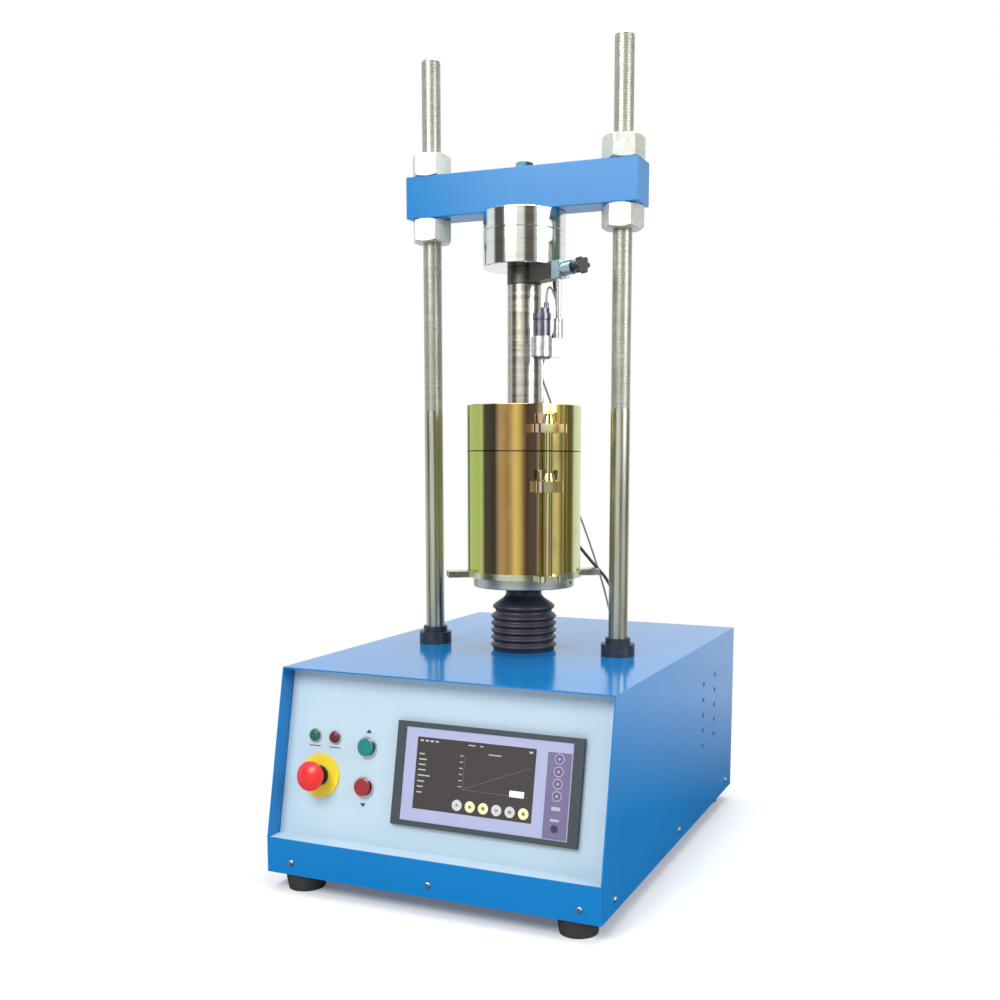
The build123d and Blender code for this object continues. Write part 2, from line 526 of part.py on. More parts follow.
buttons, contact_blocks = [], []
for down in (UP_DOWN, DOWN_DOWN):
    bezel = panel_ring(BUTTON_X, down, BUTTON_BEZEL, BUTTON_DIAMETER + 2 * LOOSE_FIT, 0, 3.5)
    bezel += panel_ring(BUTTON_X, down, BUTTON_BEZEL, STEM_DIAMETER + 2 * LOOSE_FIT, 0, 0.8)
    control_bezels.append(bezel)
    cap = panel_rod(BUTTON_X, down, BUTTON_DIAMETER, 0.8 + BUTTON_TRAVEL + SEAT_GAP, BUTTON_TOP)
    cap = chamfer(cap.faces().sort_by(Axis((0, 0, 0), tuple(OUT)))[-1].edges(), 1.0)
    buttons.append(cap + panel_rod(BUTTON_X, down, STEM_DIAMETER, -22, 2 + BUTTON_TRAVEL))
    barrel = panel_ring(BUTTON_X, down, BARREL_DIAMETER, STEM_DIAMETER + 2 * RUN_FIT,
                        -BARREL_LENGTH, -0.2)
    socket = contact_socket(BUTTON_X, down)
    socket -= panel_rod(BUTTON_X, down, STEM_DIAMETER + 2 * RUN_FIT, -BARREL_LENGTH - BUTTON_TRAVEL, 0)
    contact_blocks.append(barrel + socket)

# Emergency stop: yellow disc, barrel with contact block, sliding stem, turning mushroom head
ESTOP_STEM = 10.0
ESTOP_NECK = 28.0
ESTOP_NECK_TOP = 8.0
ESTOP_HEAD_LOW = ESTOP_NECK_TOP + ESTOP_TRAVEL + SEAT_GAP
ESTOP_HEAD_TOP = 36.0
estop_ring = panel_ring(ESTOP_X, ESTOP_DOWN, ESTOP_RING_DIAMETER, BARREL_DIAMETER + 0.2, 0, 3)
neck = panel_ring(ESTOP_X, ESTOP_DOWN, ESTOP_NECK, ESTOP_STEM + 2 * RUN_FIT, 3, ESTOP_NECK_TOP)
barrel = panel_ring(ESTOP_X, ESTOP_DOWN, BARREL_DIAMETER, ESTOP_STEM + 2 * RUN_FIT, -BARREL_LENGTH, 3)
socket = contact_socket(ESTOP_X, ESTOP_DOWN, 4.0)
socket -= panel_rod(ESTOP_X, ESTOP_DOWN, ESTOP_STEM + 2 * RUN_FIT, -26 - ESTOP_TRAVEL, 0)
contact_blocks.append(neck + barrel + socket)
estop_stem = panel_rod(ESTOP_X, ESTOP_DOWN, ESTOP_STEM, -25, ESTOP_HEAD_TOP - 10)
ESTOP_DOME_RADIUS = 29.0
ESTOP_RIM_LOW = 25.0
dome = Pos(0, 0, ESTOP_HEAD_TOP - ESTOP_DOME_RADIUS) * Sphere(ESTOP_DOME_RADIUS)
crown = Cylinder(ESTOP_HEAD_DIAMETER / 2, 40, align=up_align) & dome
crown -= Cylinder(40, ESTOP_RIM_LOW, align=up_align)
mushroom = crown + Pos(0, 0, 22) * Cone(14.5, 19, ESTOP_RIM_LOW - 22, align=up_align)
mushroom += Pos(0, 0, ESTOP_HEAD_LOW) * Cylinder(13.5, 22 - ESTOP_HEAD_LOW, align=up_align)
estop_head = on_panel(ESTOP_X, ESTOP_DOWN, mushroom)
estop_head -= panel_rod(ESTOP_X, ESTOP_DOWN, ESTOP_STEM + 2 * RUN_FIT, 0, ESTOP_HEAD_TOP - 9.7)

# Crosshead: beam on the columns, four nuts, centre bolt
COLUMN_CLEAR = THREAD_DIAMETER + 2 * LOOSE_FIT
beam = block(-BEAM_LENGTH / 2, BEAM_LENGTH / 2, -BEAM_DEPTH / 2, BEAM_DEPTH / 2, BEAM_BOTTOM, BEAM_TOP)
beam = chamfer(beam.edges(), 1.0)
CELL_BOLT_DIAMETER = 16.0
crosshead_beam = beam - bore(CELL_BOLT_DIAMETER + 2 * RUN_FIT)
for side in (-1, 1):
    crosshead_beam -= bore(COLUMN_CLEAR, side * COLUMN_X)
cell_bolt = rod(CELL_BOLT_DIAMETER, CELL_TOP - 20, BEAM_TOP) + hexagon(24, BEAM_TOP, BEAM_TOP + 10)
NUT_TURN = {"upper_left": 8.0, "lower_left": 4.0, "upper_right": 20.0, "lower_right": 10.0}
for name, turn in NUT_TURN.items():
    x = COLUMN_X if name.endswith("right") else -COLUMN_X
    bottom = BEAM_TOP if name.startswith("upper") else BEAM_BOTTOM - NUT_HEIGHT
    nut = hexagon(NUT_FLATS, bottom, bottom + NUT_HEIGHT, x, 0, turn)
    save(f"column_nut_{name}", nut - bore(THREAD_DIAMETER + 2 * RUN_FIT, x))

# Load cell: cover under the beam, body with the cable boss, adapter and plunger
CELL_SEAM = CELL_TOP - CELL_COVER_HEIGHT
load_cell_cover = rod(CELL_DIAMETER, CELL_SEAM, CELL_TOP)
load_cell_cover = chamfer(load_cell_cover.edges(), 1.0)
load_cell_cover -= rod(CELL_BOLT_DIAMETER + 2 * RUN_FIT, CELL_TOP - 20, 1400)
ADAPTER_SPIGOT = 20.0
load_cell_body = chamfer(rod(CELL_DIAMETER, CELL_BOTTOM, CELL_SEAM).edges(), 1.0)
load_cell_body -= rod(ADAPTER_SPIGOT + 2 * RUN_FIT, CELL_BOTTOM - 1, CELL_BOTTOM + 20)
CELL_CABLE_X, CELL_CABLE_Y = 32.0, 38.0
CELL_CABLE = 5.0
BOSS_BOTTOM = CELL_BOTTOM - 9
load_cell_body += rod(12, BOSS_BOTTOM, CELL_BOTTOM, CELL_CABLE_X, CELL_CABLE_Y)
load_cell_body -= rod(CELL_CABLE + 0.6, BOSS_BOTTOM - 1, CELL_BOTTOM + 15, CELL_CABLE_X, CELL_CABLE_Y)
plunger_adapter = chamfer(rod(ADAPTER_DIAMETER, ADAPTER_BOTTOM, CELL_BOTTOM).edges(), 0.8)
plunger_adapter += rod(ADAPTER_SPIGOT, CELL_BOTTOM - 1, CELL_BOTTOM + 19)
PLUNGER_SPIGOT = 16.0
plunger_adapter -= rod(PLUNGER_SPIGOT + 2 * RUN_FIT, ADAPTER_BOTTOM - 1, ADAPTER_BOTTOM + 16)
penetration_plunger = rod(PLUNGER_DIAMETER, PLUNGER_END, ADAPTER_BOTTOM)
penetration_plunger = chamfer(penetration_plunger.edges().group_by(Axis.Z)[-1], 0.8)
penetration_plunger += rod(PLUNGER_SPIGOT, ADAPTER_BOTTOM - 1, ADAPTER_BOTTOM + 15)

# Transducer carrier: arm and clamp block from the adapter, star knob, hanging rod, holder
arm_frame = Pos(0, AXIS_Y, 0) * Rot(0, 0, ARM_ANGLE)
ARM_Z = (ADAPTER_BOTTOM + CELL_BOTTOM) / 2
BLOCK_NEAR, BLOCK_FAR, BLOCK_HALF = 79.0, 99.0, 10.0
ARM_ROD = 12.0
TRANSDUCER_ROD = 8.0


def arm_rod(diameter, near, far):
    shape = Cylinder(diameter / 2, far - near, rotation=(0, 90, 0))
    return arm_frame * Pos((near + far) / 2, 0, ARM_Z) * shape


def arm_box(near, far, width, height):
    return arm_frame * Pos((near + far) / 2, 0, ARM_Z) * Box(far - near, width, height)


STUD_DIAMETER = 8.0
STUD_NEAR = ROD_RADIUS_OUT + TRANSDUCER_ROD / 2 + 0.4
BOSS_LENGTH = 22.0
ARM_HEIGHT = CELL_BOTTOM - ADAPTER_BOTTOM - 0.6
LUG_PIN = 30.0
clamp_block = arm_box(BLOCK_NEAR, BLOCK_FAR, 2 * BLOCK_HALF, ARM_HEIGHT)
clamp_block += arm_rod(ARM_ROD, BLOCK_NEAR - LUG_PIN, BLOCK_NEAR)
clamp_block += arm_rod(20, BLOCK_FAR, BLOCK_FAR + BOSS_LENGTH)
clamp_block -= arm_rod(STUD_DIAMETER + 2 * RUN_FIT, ROD_RADIUS_OUT, BLOCK_FAR + BOSS_LENGTH + 1)
plunger_adapter += arm_box(ADAPTER_DIAMETER / 2 - 6, BLOCK_NEAR - RUN_FIT, 21, ARM_HEIGHT)
plunger_adapter -= arm_rod(ARM_ROD + 2 * RUN_FIT, BLOCK_NEAR - LUG_PIN - 0.5, BLOCK_NEAR + 1)
rod_x, rod_y = polar(ROD_RADIUS_OUT, ARM_ANGLE)
clamp_block -= bore(TRANSDUCER_ROD + 2 * RUN_FIT, rod_x, rod_y)
KNOB_NEAR, KNOB_FAR = 132.0, 141.0
clamp_knob = arm_rod(STUD_DIAMETER, STUD_NEAR, KNOB_NEAR) + arm_rod(18, KNOB_NEAR, KNOB_FAR)
for lobe in range(6):
    lobe_y, lobe_z = polar(8.5, lobe * 60)
    lobe_shape = Cylinder(3.2, KNOB_FAR - KNOB_NEAR, rotation=(0, 90, 0))
    clamp_knob += arm_frame * Pos((KNOB_NEAR + KNOB_FAR) / 2, lobe_y, ARM_Z + lobe_z) * lobe_shape
HOLDER_LOW = TRANSDUCER_BOTTOM + 2.6
HOLDER_HIGH = HOLDER_LOW + 28.0
ROD_BOTTOM = HOLDER_HIGH - 2.0
SLEEVE_TOP = ROD_BOTTOM + 28.0
transducer_rod = rod(TRANSDUCER_ROD, ROD_BOTTOM, CELL_BOTTOM - 1, rod_x, rod_y)

# Transducer: body with cap and cable stub, holder, spindle on the rim of the mould
tip_x, tip_y = polar(SPINDLE_RADIUS_OUT, SPINDLE_ANGLE)
BODY_TOP = TRANSDUCER_BOTTOM + TRANSDUCER_BODY_HEIGHT
CAP_TOP = BODY_TOP + 8.5
SPINDLE_DIAMETER = 4.0
transducer_body = rod(TRANSDUCER_DIAMETER, TRANSDUCER_BOTTOM, BODY_TOP, tip_x, tip_y)
transducer_body = chamfer(transducer_body.edges(), 1.0)
transducer_body += rod(26, BODY_TOP, CAP_TOP, tip_x, tip_y) + rod(22, CAP_TOP, CAP_TOP + 7, tip_x, tip_y)
STUB_SHIFT = 6.5
stub_x, stub_y = tip_x + STUB_SHIFT * 0.93, tip_y + STUB_SHIFT * 0.37
transducer_body += rod(7, CAP_TOP + 7, CAP_TOP + 15, stub_x, stub_y)
TRANSDUCER_CABLE = 3.0
transducer_body -= rod(TRANSDUCER_CABLE + 0.5, CAP_TOP + 5, CAP_TOP + 30, stub_x, stub_y)
transducer_body -= bore(SPINDLE_DIAMETER + 2 * RUN_FIT, tip_x, tip_y)
span_x, span_y = rod_x - tip_x, rod_y - tip_y
span = math.hypot(span_x, span_y)
span_angle = math.degrees(math.atan2(span_y, span_x))
holder_frame = Pos(tip_x, AXIS_Y + tip_y, HOLDER_LOW) * Rot(0, 0, span_angle)
bridge_height = ROD_BOTTOM - HOLDER_LOW
transducer_holder = rod(TRANSDUCER_DIAMETER + 6, HOLDER_LOW, HOLDER_HIGH, tip_x, tip_y)
transducer_holder += holder_frame * Pos(span / 2, 0, bridge_height / 2) * Box(span + 8, 10, bridge_height)
transducer_holder += rod(13, ROD_BOTTOM, SLEEVE_TOP, rod_x, rod_y)
transducer_holder -= bore(TRANSDUCER_DIAMETER + 2 * RUN_FIT, tip_x, tip_y)
transducer_holder -= rod(TRANSDUCER_ROD + 2 * RUN_FIT, ROD_BOTTOM, 1400, rod_x, rod_y)
SPINDLE_TIP = MOULD_TOP + SEAT_GAP
SPINDLE_TOP = CAP_TOP + 5
transducer_spindle = rod(SPINDLE_DIAMETER, SPINDLE_TIP + 8, SPINDLE_TOP, tip_x, tip_y)
transducer_spindle += rod(6.5, SPINDLE_TIP + 3.25, SPINDLE_TIP + 9, tip_x, tip_y)
transducer_spindle += Pos(tip_x, AXIS_Y + tip_y, SPINDLE_TIP + 3.25) * Sphere(3.25)

# Mould: base plate with ears, body and collar with lugs, tie rods and wing nuts
BASE_LUG_WIDTH = 34.0
BODY_LUG_WIDTH = 42.0
COLLAR_LUG_WIDTH = 52.0
LUG_ROUND = 10.0
tie_frame = Pos(0, AXIS_Y, 0) * Rot(0, 0, TIE_ANGLE)
tie_places = [polar(TIE_RADIUS, TIE_ANGLE), polar(TIE_RADIUS, TIE_ANGLE + 180)]


def lugs(bottom, top, width):
    bar = Box(2 * (TIE_RADIUS + 12), width, top - bottom)
    bar = fillet(bar.edges().filter_by(Axis.Z), LUG_ROUND)
    return tie_frame * Pos(0, 0, (bottom + top) / 2) * bar


def tie_holes(diameter):
    return [bore(diameter, x, y) for x, y in tie_places]


TIE_HOLE = TIE_DIAMETER + 0.6
ear = Pos(0, AXIS_Y, MOULD_BASE_BOTTOM + MOULD_BASE_THICK / 2) * Rot(0, 0, EAR_ANGLE) * Box(
    EAR_LENGTH, 30, MOULD_BASE_THICK)
mould_base_plate = rod(MOULD_OUTSIDE + 3, MOULD_BASE_BOTTOM, MOULD_BASE_TOP) + ear
mould_base_plate += lugs(MOULD_BASE_BOTTOM, MOULD_BASE_TOP, BASE_LUG_WIDTH)
mould_base_plate -= tie_holes(TIE_DIAMETER + 2 * RUN_FIT)
BODY_LUG_THICK = 15.6
BODY_LUG_HIGH = MOULD_SEAM - 42.8
BODY_LUG_LOW = BODY_LUG_HIGH - BODY_LUG_THICK
COLLAR_LUG_THICK = 11.9
COLLAR_LUG_LOW = MOULD_SEAM + 25.7
COLLAR_LUG_HIGH = COLLAR_LUG_LOW + COLLAR_LUG_THICK
mould_body = rod(MOULD_OUTSIDE, MOULD_BASE_TOP, MOULD_SEAM)
mould_body += lugs(BODY_LUG_LOW, BODY_LUG_HIGH, BODY_LUG_WIDTH)
mould_body -= tie_holes(TIE_HOLE)
mould_body -= bore(MOULD_BORE)
mould_collar = chamfer(rod(MOULD_OUTSIDE, MOULD_SEAM, MOULD_TOP).edges().group_by(Axis.Z)[-1], 0.8)
mould_collar += lugs(COLLAR_LUG_LOW, COLLAR_LUG_HIGH, COLLAR_LUG_WIDTH)
mould_collar -= tie_holes(TIE_HOLE)
mould_collar -= bore(MOULD_BORE)
TIE_TOP = COLLAR_LUG_HIGH + 13.7
tie_rods = [rod(TIE_DIAMETER, MOULD_BASE_BOTTOM, TIE_TOP, x, y) for x, y in tie_places]

WING_SPAN = 2 * (TIE_RADIUS - MOULD_OUTSIDE / 2 - 0.5)


def wing_nut(x, y, bottom, turn):
    hub = Cone(9.5, 7.5, 11, align=up_align)
    wings = Pos(0, 0, 9) * Box(WING_SPAN, 4.5, 14)
    wings -= Pos(0, 0, 20) * Cylinder(8.5, 10, rotation=(90, 0, 0))
    corners = wings.edges().filter_by(Axis.Y)
    shape = hub + fillet(corners.group_by(Axis.Z)[0], 2.0)
    shape -= Cylinder(TIE_DIAMETER / 2 + RUN_FIT, 60)
    return Pos(x, AXIS_Y + y, bottom) * Rot(0, 0, turn) * shape


wing_places = {"front": tie_places[0], "rear": tie_places[1]}
wing_levels = {"upper": (COLLAR_LUG_HIGH, 20.0), "lower": (BODY_LUG_HIGH, 65.0)}
for side, (x, y) in wing_places.items():
    for level, (bottom, turn) in wing_levels.items():
        save(f"wing_nut_{side}_{level}", wing_nut(x, y, bottom + 0.02, turn))

# Platen with its tommy hole, and the bellows round the ram
platen = chamfer(rod(PLATEN_DIAMETER, PLATEN_BOTTOM, MOULD_BASE_BOTTOM).edges(), 1.0)
tommy_hole = Cylinder(3, 40, rotation=(0, 90, 0))
platen -= Pos(PLATEN_DIAMETER / 2, AXIS_Y, (PLATEN_BOTTOM + MOULD_BASE_BOTTOM) / 2) * tommy_hole

BELLOWS_SKIN = 2.0
NECK_RADIUS = 27.0
CREST_RADIUS = 51.0
VALLEY_RADIUS = 44.0
FOLDS = 5
CUFF_HEIGHT = 8.2
bellows_top = PLATEN_BOTTOM - SEAT_GAP
bellows_bottom = HOOD_TOP + 0.2
bellows_edge = [(NECK_RADIUS, bellows_top), (NECK_RADIUS, bellows_top - 15.4),
                (CREST_RADIUS - 2, bellows_top - 30.4), (VALLEY_RADIUS - 3, bellows_top - 38.0)]
top_crest_z = bellows_top - 45.8
fold_pitch = (top_crest_z - bellows_bottom - CUFF_HEIGHT) / (FOLDS - 1)
for fold in range(FOLDS):
    crest_z = top_crest_z - fold * fold_pitch
    bellows_edge.append((CREST_RADIUS, crest_z))
    if fold < FOLDS - 1:
        bellows_edge.append((VALLEY_RADIUS, crest_z - fold_pitch / 2))
bellows_edge.append((VALLEY_RADIUS + 2, bellows_bottom))
inner_edge = [(radius - BELLOWS_SKIN, z) for radius, z in reversed(bellows_edge)]
bellows = profile_of_revolution(bellows_edge + inner_edge)

# Cables: points chosen by hand, measured from the machine axis
CELL_CABLE_ROUTE = [
    (32.0, 38.0, 866.0), (32.0, 38.0, 858.0), (32.2, 39.5, 848.0), (33.6, 46.0, 829.0),
    (32.0, 53.0, 801.0), (23.5, 60.0, 778.0), (6.0, 69.0, 761.0), (-16.5, 80.0, 741.0),
    (-31.0, 91.0, 709.0), (-37.0, 99.0, 669.0), (-36.0, 106.0, 622.0), (-23.5, 110.0, 575.0),
    (1.0, 110.0, 519.0), (28.5, 106.0, 479.0), (52.8, 102.0, 453.6), (75.5, 98.5, 430.4),
    (102.0, 90.0, 408.0), (114.6, 84.0, 387.6), (124.0, 76.0, 361.0), (131.5, 69.5, 338.0),
    (136.8, 63.9, 322.5), (138.5, 62.0, 311.0), (138.5, 62.0, 300.0)]
TRANSDUCER_CABLE_ROUTE = [
    (59.7, -58.3, 805.0), (59.7, -58.3, 813.0), (59.3, -56.6, 822.5), (58.4, -50.5, 831.5),
    (57.0, -38.5, 836.0), (54.8, -21.5, 833.5), (52.0, 2.0, 817.0), (46.0, 20.5, 794.5),
    (36.0, 35.0, 776.0), (20.5, 49.5, 759.0), (3.5, 63.0, 741.0), (-4.5, 75.0, 726.0),
    (-5.0, 86.0, 710.5), (1.5, 95.0, 688.0), (10.0, 102.5, 652.5), (18.0, 109.0, 612.0),
    (27.0, 114.0, 562.0), (40.5, 116.0, 517.0), (57.5, 114.5, 478.0), (75.0, 108.0, 438.0),
    (92.0, 98.5, 400.0), (107.5, 85.0, 363.5), (118.0, 71.5, 336.5), (122.9, 63.3, 319.5),
    (123.5, 62.0, 309.5), (123.5, 62.0, 300.0)]
BEND_SHARE = 0.45


def bend_radius(before, corner, after):
    into, out = corner - before, after - corner
    half_turn = math.radians(into.get_angle(out) / 2)
    return BEND_SHARE * min(into.length, out.length) / math.tan(half_turn)


def cable(name, route, diameter):
    points = [Vector(x, AXIS_Y + y, z) for x, y, z in route]
    radii = [bend_radius(*points[i - 1:i + 2]) for i in range(1, len(points) - 1)]
    path = FilletPolyline(*points, radius=radii)
    start = Plane(origin=path @ 0, z_dir=path % 0)
    tube = sweep(start * Circle(diameter / 2), path)
    true_volume = math.pi * diameter ** 2 / 4 * path.length
    print(name, "length", round(path.length, 1), "volume share", round(tube.volume / true_volume, 4),
          "radii", [round(radius) for radius in radii])
    return tube


save("base_tray", base_tray)
save("hood", hood)
save("front_panel", front_panel)
save("rear_panel", rear_panel)
save("rubber_feet", *feet)
save("screws", *screws)
save("lower_frame", lower_frame)
save("lower_bridge", lower_bridge)
save("columns", *columns)
save("column_collars", *column_collars)
save("column_base_nuts", *column_base_nuts)
save("jack_housing", jack_housing)
save("jack_pulley_nut", jack_pulley_nut)
save("motor_pulley", motor_pulley)
save("drive_motor", drive_motor)
save("motor_bracket", motor_bracket)
save("timing_belt", timing_belt)
save("drive_electronics", drive_electronics)
save("hmi_housing", hmi_housing)
save("hmi_fascia", hmi_fascia)
save("hmi_screen", hmi_screen)
save("control_bezels", *control_bezels)
save("green_lamp_lens", lamp_lenses[0])
save("red_lamp_lens", lamp_lenses[1])
save("up_button", buttons[0])
save("down_button", buttons[1])
save("contact_blocks", *contact_blocks)
save("estop_ring", estop_ring)
save("estop_stem", estop_stem)
save("estop_head", estop_head)
save("crosshead_beam", crosshead_beam)
save("cell_bolt", cell_bolt)
save("load_cell_body", load_cell_body)
save("load_cell_cover", load_cell_cover)
save("plunger_adapter", plunger_adapter)
save("penetration_plunger", penetration_plunger)
save("clamp_block", clamp_block)
save("clamp_knob", clamp_knob)
save("transducer_rod", transducer_rod)
save("transducer_holder", transducer_holder)
save("transducer_body", transducer_body)
save("transducer_spindle", transducer_spindle)
save("cable_glands", *cable_glands)
save("load_cell_cable", cable("load_cell_cable", CELL_CABLE_ROUTE, CELL_CABLE))
save("transducer_cable", cable("transducer_cable", TRANSDUCER_CABLE_ROUTE, TRANSDUCER_CABLE))
save("mould_base_plate", mould_base_plate)
save("mould_body", mould_body)
save("mould_collar", mould_collar)
save("tie_rods", *tie_rods)
save("platen", platen)
save("ram_screw", ram_screw)
save("bellows", bellows)
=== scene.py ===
import math

import bmesh
import bpy
from mathutils import Matrix, Vector


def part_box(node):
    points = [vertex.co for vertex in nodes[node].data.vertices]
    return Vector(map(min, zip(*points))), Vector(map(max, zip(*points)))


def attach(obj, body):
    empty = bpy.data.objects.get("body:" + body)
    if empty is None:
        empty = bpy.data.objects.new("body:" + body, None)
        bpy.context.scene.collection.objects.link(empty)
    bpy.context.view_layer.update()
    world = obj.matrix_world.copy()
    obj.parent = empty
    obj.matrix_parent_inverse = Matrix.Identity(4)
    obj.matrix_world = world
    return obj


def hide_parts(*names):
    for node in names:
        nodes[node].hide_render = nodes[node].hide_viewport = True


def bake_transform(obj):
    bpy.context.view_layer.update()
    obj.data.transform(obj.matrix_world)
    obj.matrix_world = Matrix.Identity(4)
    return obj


# California bearing ratio apparatus: a bench loading frame pressing a plunger into a soil mould.
# Metres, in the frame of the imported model: X right, Y back, Z up, floor at zero. The columns,
# the ram and all that it lifts stand on the line Y = MACHINE_Y.
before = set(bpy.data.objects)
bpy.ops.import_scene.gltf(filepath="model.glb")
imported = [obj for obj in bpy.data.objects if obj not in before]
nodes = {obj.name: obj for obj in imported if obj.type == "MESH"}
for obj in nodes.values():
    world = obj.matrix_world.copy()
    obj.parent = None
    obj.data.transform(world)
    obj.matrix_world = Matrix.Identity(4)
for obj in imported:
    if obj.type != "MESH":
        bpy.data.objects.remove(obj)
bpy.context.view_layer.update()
scene = bpy.context.scene
scene.view_settings.view_transform = "Standard"
MACHINE_Y = -0.0258

# Camera
# Fitted to the photograph's straight edges. It stands in front of the machine and to its
# right, level with the upper part of the mould, and looks down a little.
camera_data = bpy.data.cameras.new("camera")
camera_data.sensor_width = 36.0
camera_data.lens = 40.76
camera_data.shift_x = -0.0579
camera_data.shift_y = 0.1003
camera_data.clip_end = 50.0
camera = bpy.data.objects.new("camera", camera_data)
scene.collection.objects.link(camera)
eye = Vector((0.6882, -1.5950, 0.5915))
yaw, pitch, roll = math.radians(21.94), math.radians(7.08), math.radians(0.30)
look = Matrix.Rotation(yaw, 4, "Z") @ Matrix.Rotation(math.pi / 2 - pitch, 4, "X")
camera.matrix_world = Matrix.Translation(eye) @ look @ Matrix.Rotation(roll, 4, "Z")
scene.camera = camera


# Instrument cables
# Two rubber leads go from the load cell and the displacement transducer down behind the
# mould and into grommets on the cabinet.
def add_node(tree, kind, inputs=None, **settings):
    made = tree.nodes.new(kind)
    for name, value in settings.items():
        setattr(made, name, value)
    for socket, value in (inputs or {}).items():
        if isinstance(value, bpy.types.NodeSocket):
            tree.links.new(value, made.inputs[socket])
        else:
            made.inputs[socket].default_value = value
    return made


def finish(name, color, roughness, metallic=0.0):
    material = bpy.data.materials.new(name)
    material.use_nodes = True
    shader = material.node_tree.nodes["Principled BSDF"]
    shader.inputs["Base Color"].default_value = (*color, 1.0)
    shader.inputs["Roughness"].default_value = roughness
    shader.inputs["Metallic"].default_value = metallic
    return material


def place_of(tree, stretch=(1.0, 1.0, 1.0), shift=(0.0, 0.0, 0.0)):
    place = add_node(tree, "ShaderNodeTexCoord")
    return add_node(tree, "ShaderNodeMapping", {
        "Vector": place.outputs["Object"], "Location": shift, "Scale": stretch}).outputs["Vector"]


def noise(tree, vector, scale, detail=2.0):
    return add_node(tree, "ShaderNodeTexNoise", {
        "Vector": vector, "Scale": scale, "Detail": detail}).outputs["Fac"]


def remap(tree, value, low, high, to_low, to_high):
    return add_node(tree, "ShaderNodeMapRange", {
        "Value": value, "From Min": low, "From Max": high,
        "To Min": to_low, "To Max": to_high}).outputs["Result"]


def roughen(material, height, distance, strength):
    tree = material.node_tree
    bump = add_node(tree, "ShaderNodeBump", {
        "Height": height, "Distance": distance, "Strength": strength})
    tree.links.new(bump.outputs["Normal"], tree.nodes["Principled BSDF"].inputs["Normal"])


def mix_colors(tree, factor, first, second):
    return add_node(tree, "ShaderNodeMix", {
        "Factor": factor, "A": first, "B": second}, data_type="RGBA").outputs["Result"]


def vary_color(material, factor, dark, light):
    tree = material.node_tree
    mixed = mix_colors(tree, factor, (*dark, 1.0), (*light, 1.0))
    tree.links.new(mixed, tree.nodes["Principled BSDF"].inputs["Base Color"])


def rubber(name, dark, light, roughness=0.6):
    material = finish(name, dark, roughness)
    tree = material.node_tree
    vector = place_of(tree)
    vary_color(material, noise(tree, vector, 60.0, 4.0), dark, light)
    roughen(material, noise(tree, vector, 1400.0), 0.0002, 0.5)
    return material


def dress(piece, material):
    piece.data.materials.clear()
    piece.data.materials.append(material)


def new_piece(name, mesh, body, slot, *materials):
    piece = bpy.data.objects.new(name, mesh)
    scene.collection.objects.link(piece)
    for material in materials:
        mesh.materials.append(material)
    if body:
        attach(piece, body)
    return piece


def cable(name, node, slot, route, diameter, material):
    line = bpy.data.curves.new(name, "CURVE")
    line.dimensions = "3D"
    spline = line.splines.new("NURBS")
    spline.points.add(len(route) - 1)
    for point, (x, y, z) in zip(spline.points, route):
        point.co = (x, MACHINE_Y + y, z, 1.0)
    spline.order_u = 3
    spline.use_endpoint_u = True
    spline.resolution_u = 8
    drawn = bpy.data.objects.new(name + "_line", line)
    path = [v.co.copy() for v in bpy.data.meshes.new_from_object(drawn).vertices]
    line.bevel_depth = diameter / 2
    line.bevel_resolution = 4
    line.use_fill_caps = True
    mesh = bpy.data.meshes.new_from_object(drawn)
    bpy.data.objects.remove(drawn)
    mesh.shade_smooth()
    piece = new_piece(name, mesh, None, slot, material)
    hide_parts(node)
    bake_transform(piece)


cell_cable_route = [
    (0.0320, 0.0380, 0.8660), (0.0320, 0.0380, 0.8580), (0.0322, 0.0395, 0.8480),
    (0.0336, 0.0460, 0.8290), (0.0320, 0.0530, 0.8010), (0.0235, 0.0600, 0.7780),
    (0.0060, 0.0690, 0.7610), (-0.0165, 0.0800, 0.7410), (-0.0310, 0.0910, 0.7090),
    (-0.0370, 0.0990, 0.6690), (-0.0360, 0.1060, 0.6220), (-0.0235, 0.1100, 0.5750),
    (0.0010, 0.1100, 0.5190), (0.0285, 0.1060, 0.4790), (0.0528, 0.1020, 0.4536),
    (0.0755, 0.0985, 0.4304), (0.1020, 0.0900, 0.4080), (0.1146, 0.0840, 0.3876),
    (0.1240, 0.0760, 0.3610), (0.1315, 0.0695, 0.3380), (0.1368, 0.0639, 0.3225),
    (0.1385, 0.0620, 0.3110), (0.1385, 0.0620, 0.3000)]
transducer_cable_route = [
    (0.0597, -0.0583, 0.8050), (0.0597, -0.0583, 0.8130), (0.0593, -0.0566, 0.8225),
    (0.0584, -0.0505, 0.8315), (0.0570, -0.0385, 0.8360), (0.0548, -0.0215, 0.8335),
    (0.0520, 0.0020, 0.8170), (0.0460, 0.0205, 0.7945), (0.0360, 0.0350, 0.7760),
    (0.0205, 0.0495, 0.7590), (0.0035, 0.0630, 0.7410), (-0.0045, 0.0750, 0.7260),
    (-0.0050, 0.0860, 0.7105), (0.0015, 0.0950, 0.6880), (0.0100, 0.1025, 0.6525),
    (0.0180, 0.1090, 0.6120), (0.0270, 0.1140, 0.5620), (0.0405, 0.1160, 0.5170),
    (0.0575, 0.1145, 0.4780), (0.0750, 0.1080, 0.4380), (0.0920, 0.0985, 0.4000),
    (0.1075, 0.0850, 0.3635), (0.1180, 0.0715, 0.3365), (0.1229, 0.0633, 0.3195),
    (0.1235, 0.0620, 0.3095), (0.1235, 0.0620, 0.3000)]
black_sheath = rubber("black_sheath", (0.018, 0.018, 0.022), (0.035, 0.035, 0.04), 0.5)
grey_sheath = rubber("grey_sheath", (0.20, 0.20, 0.21), (0.28, 0.28, 0.29), 0.5)
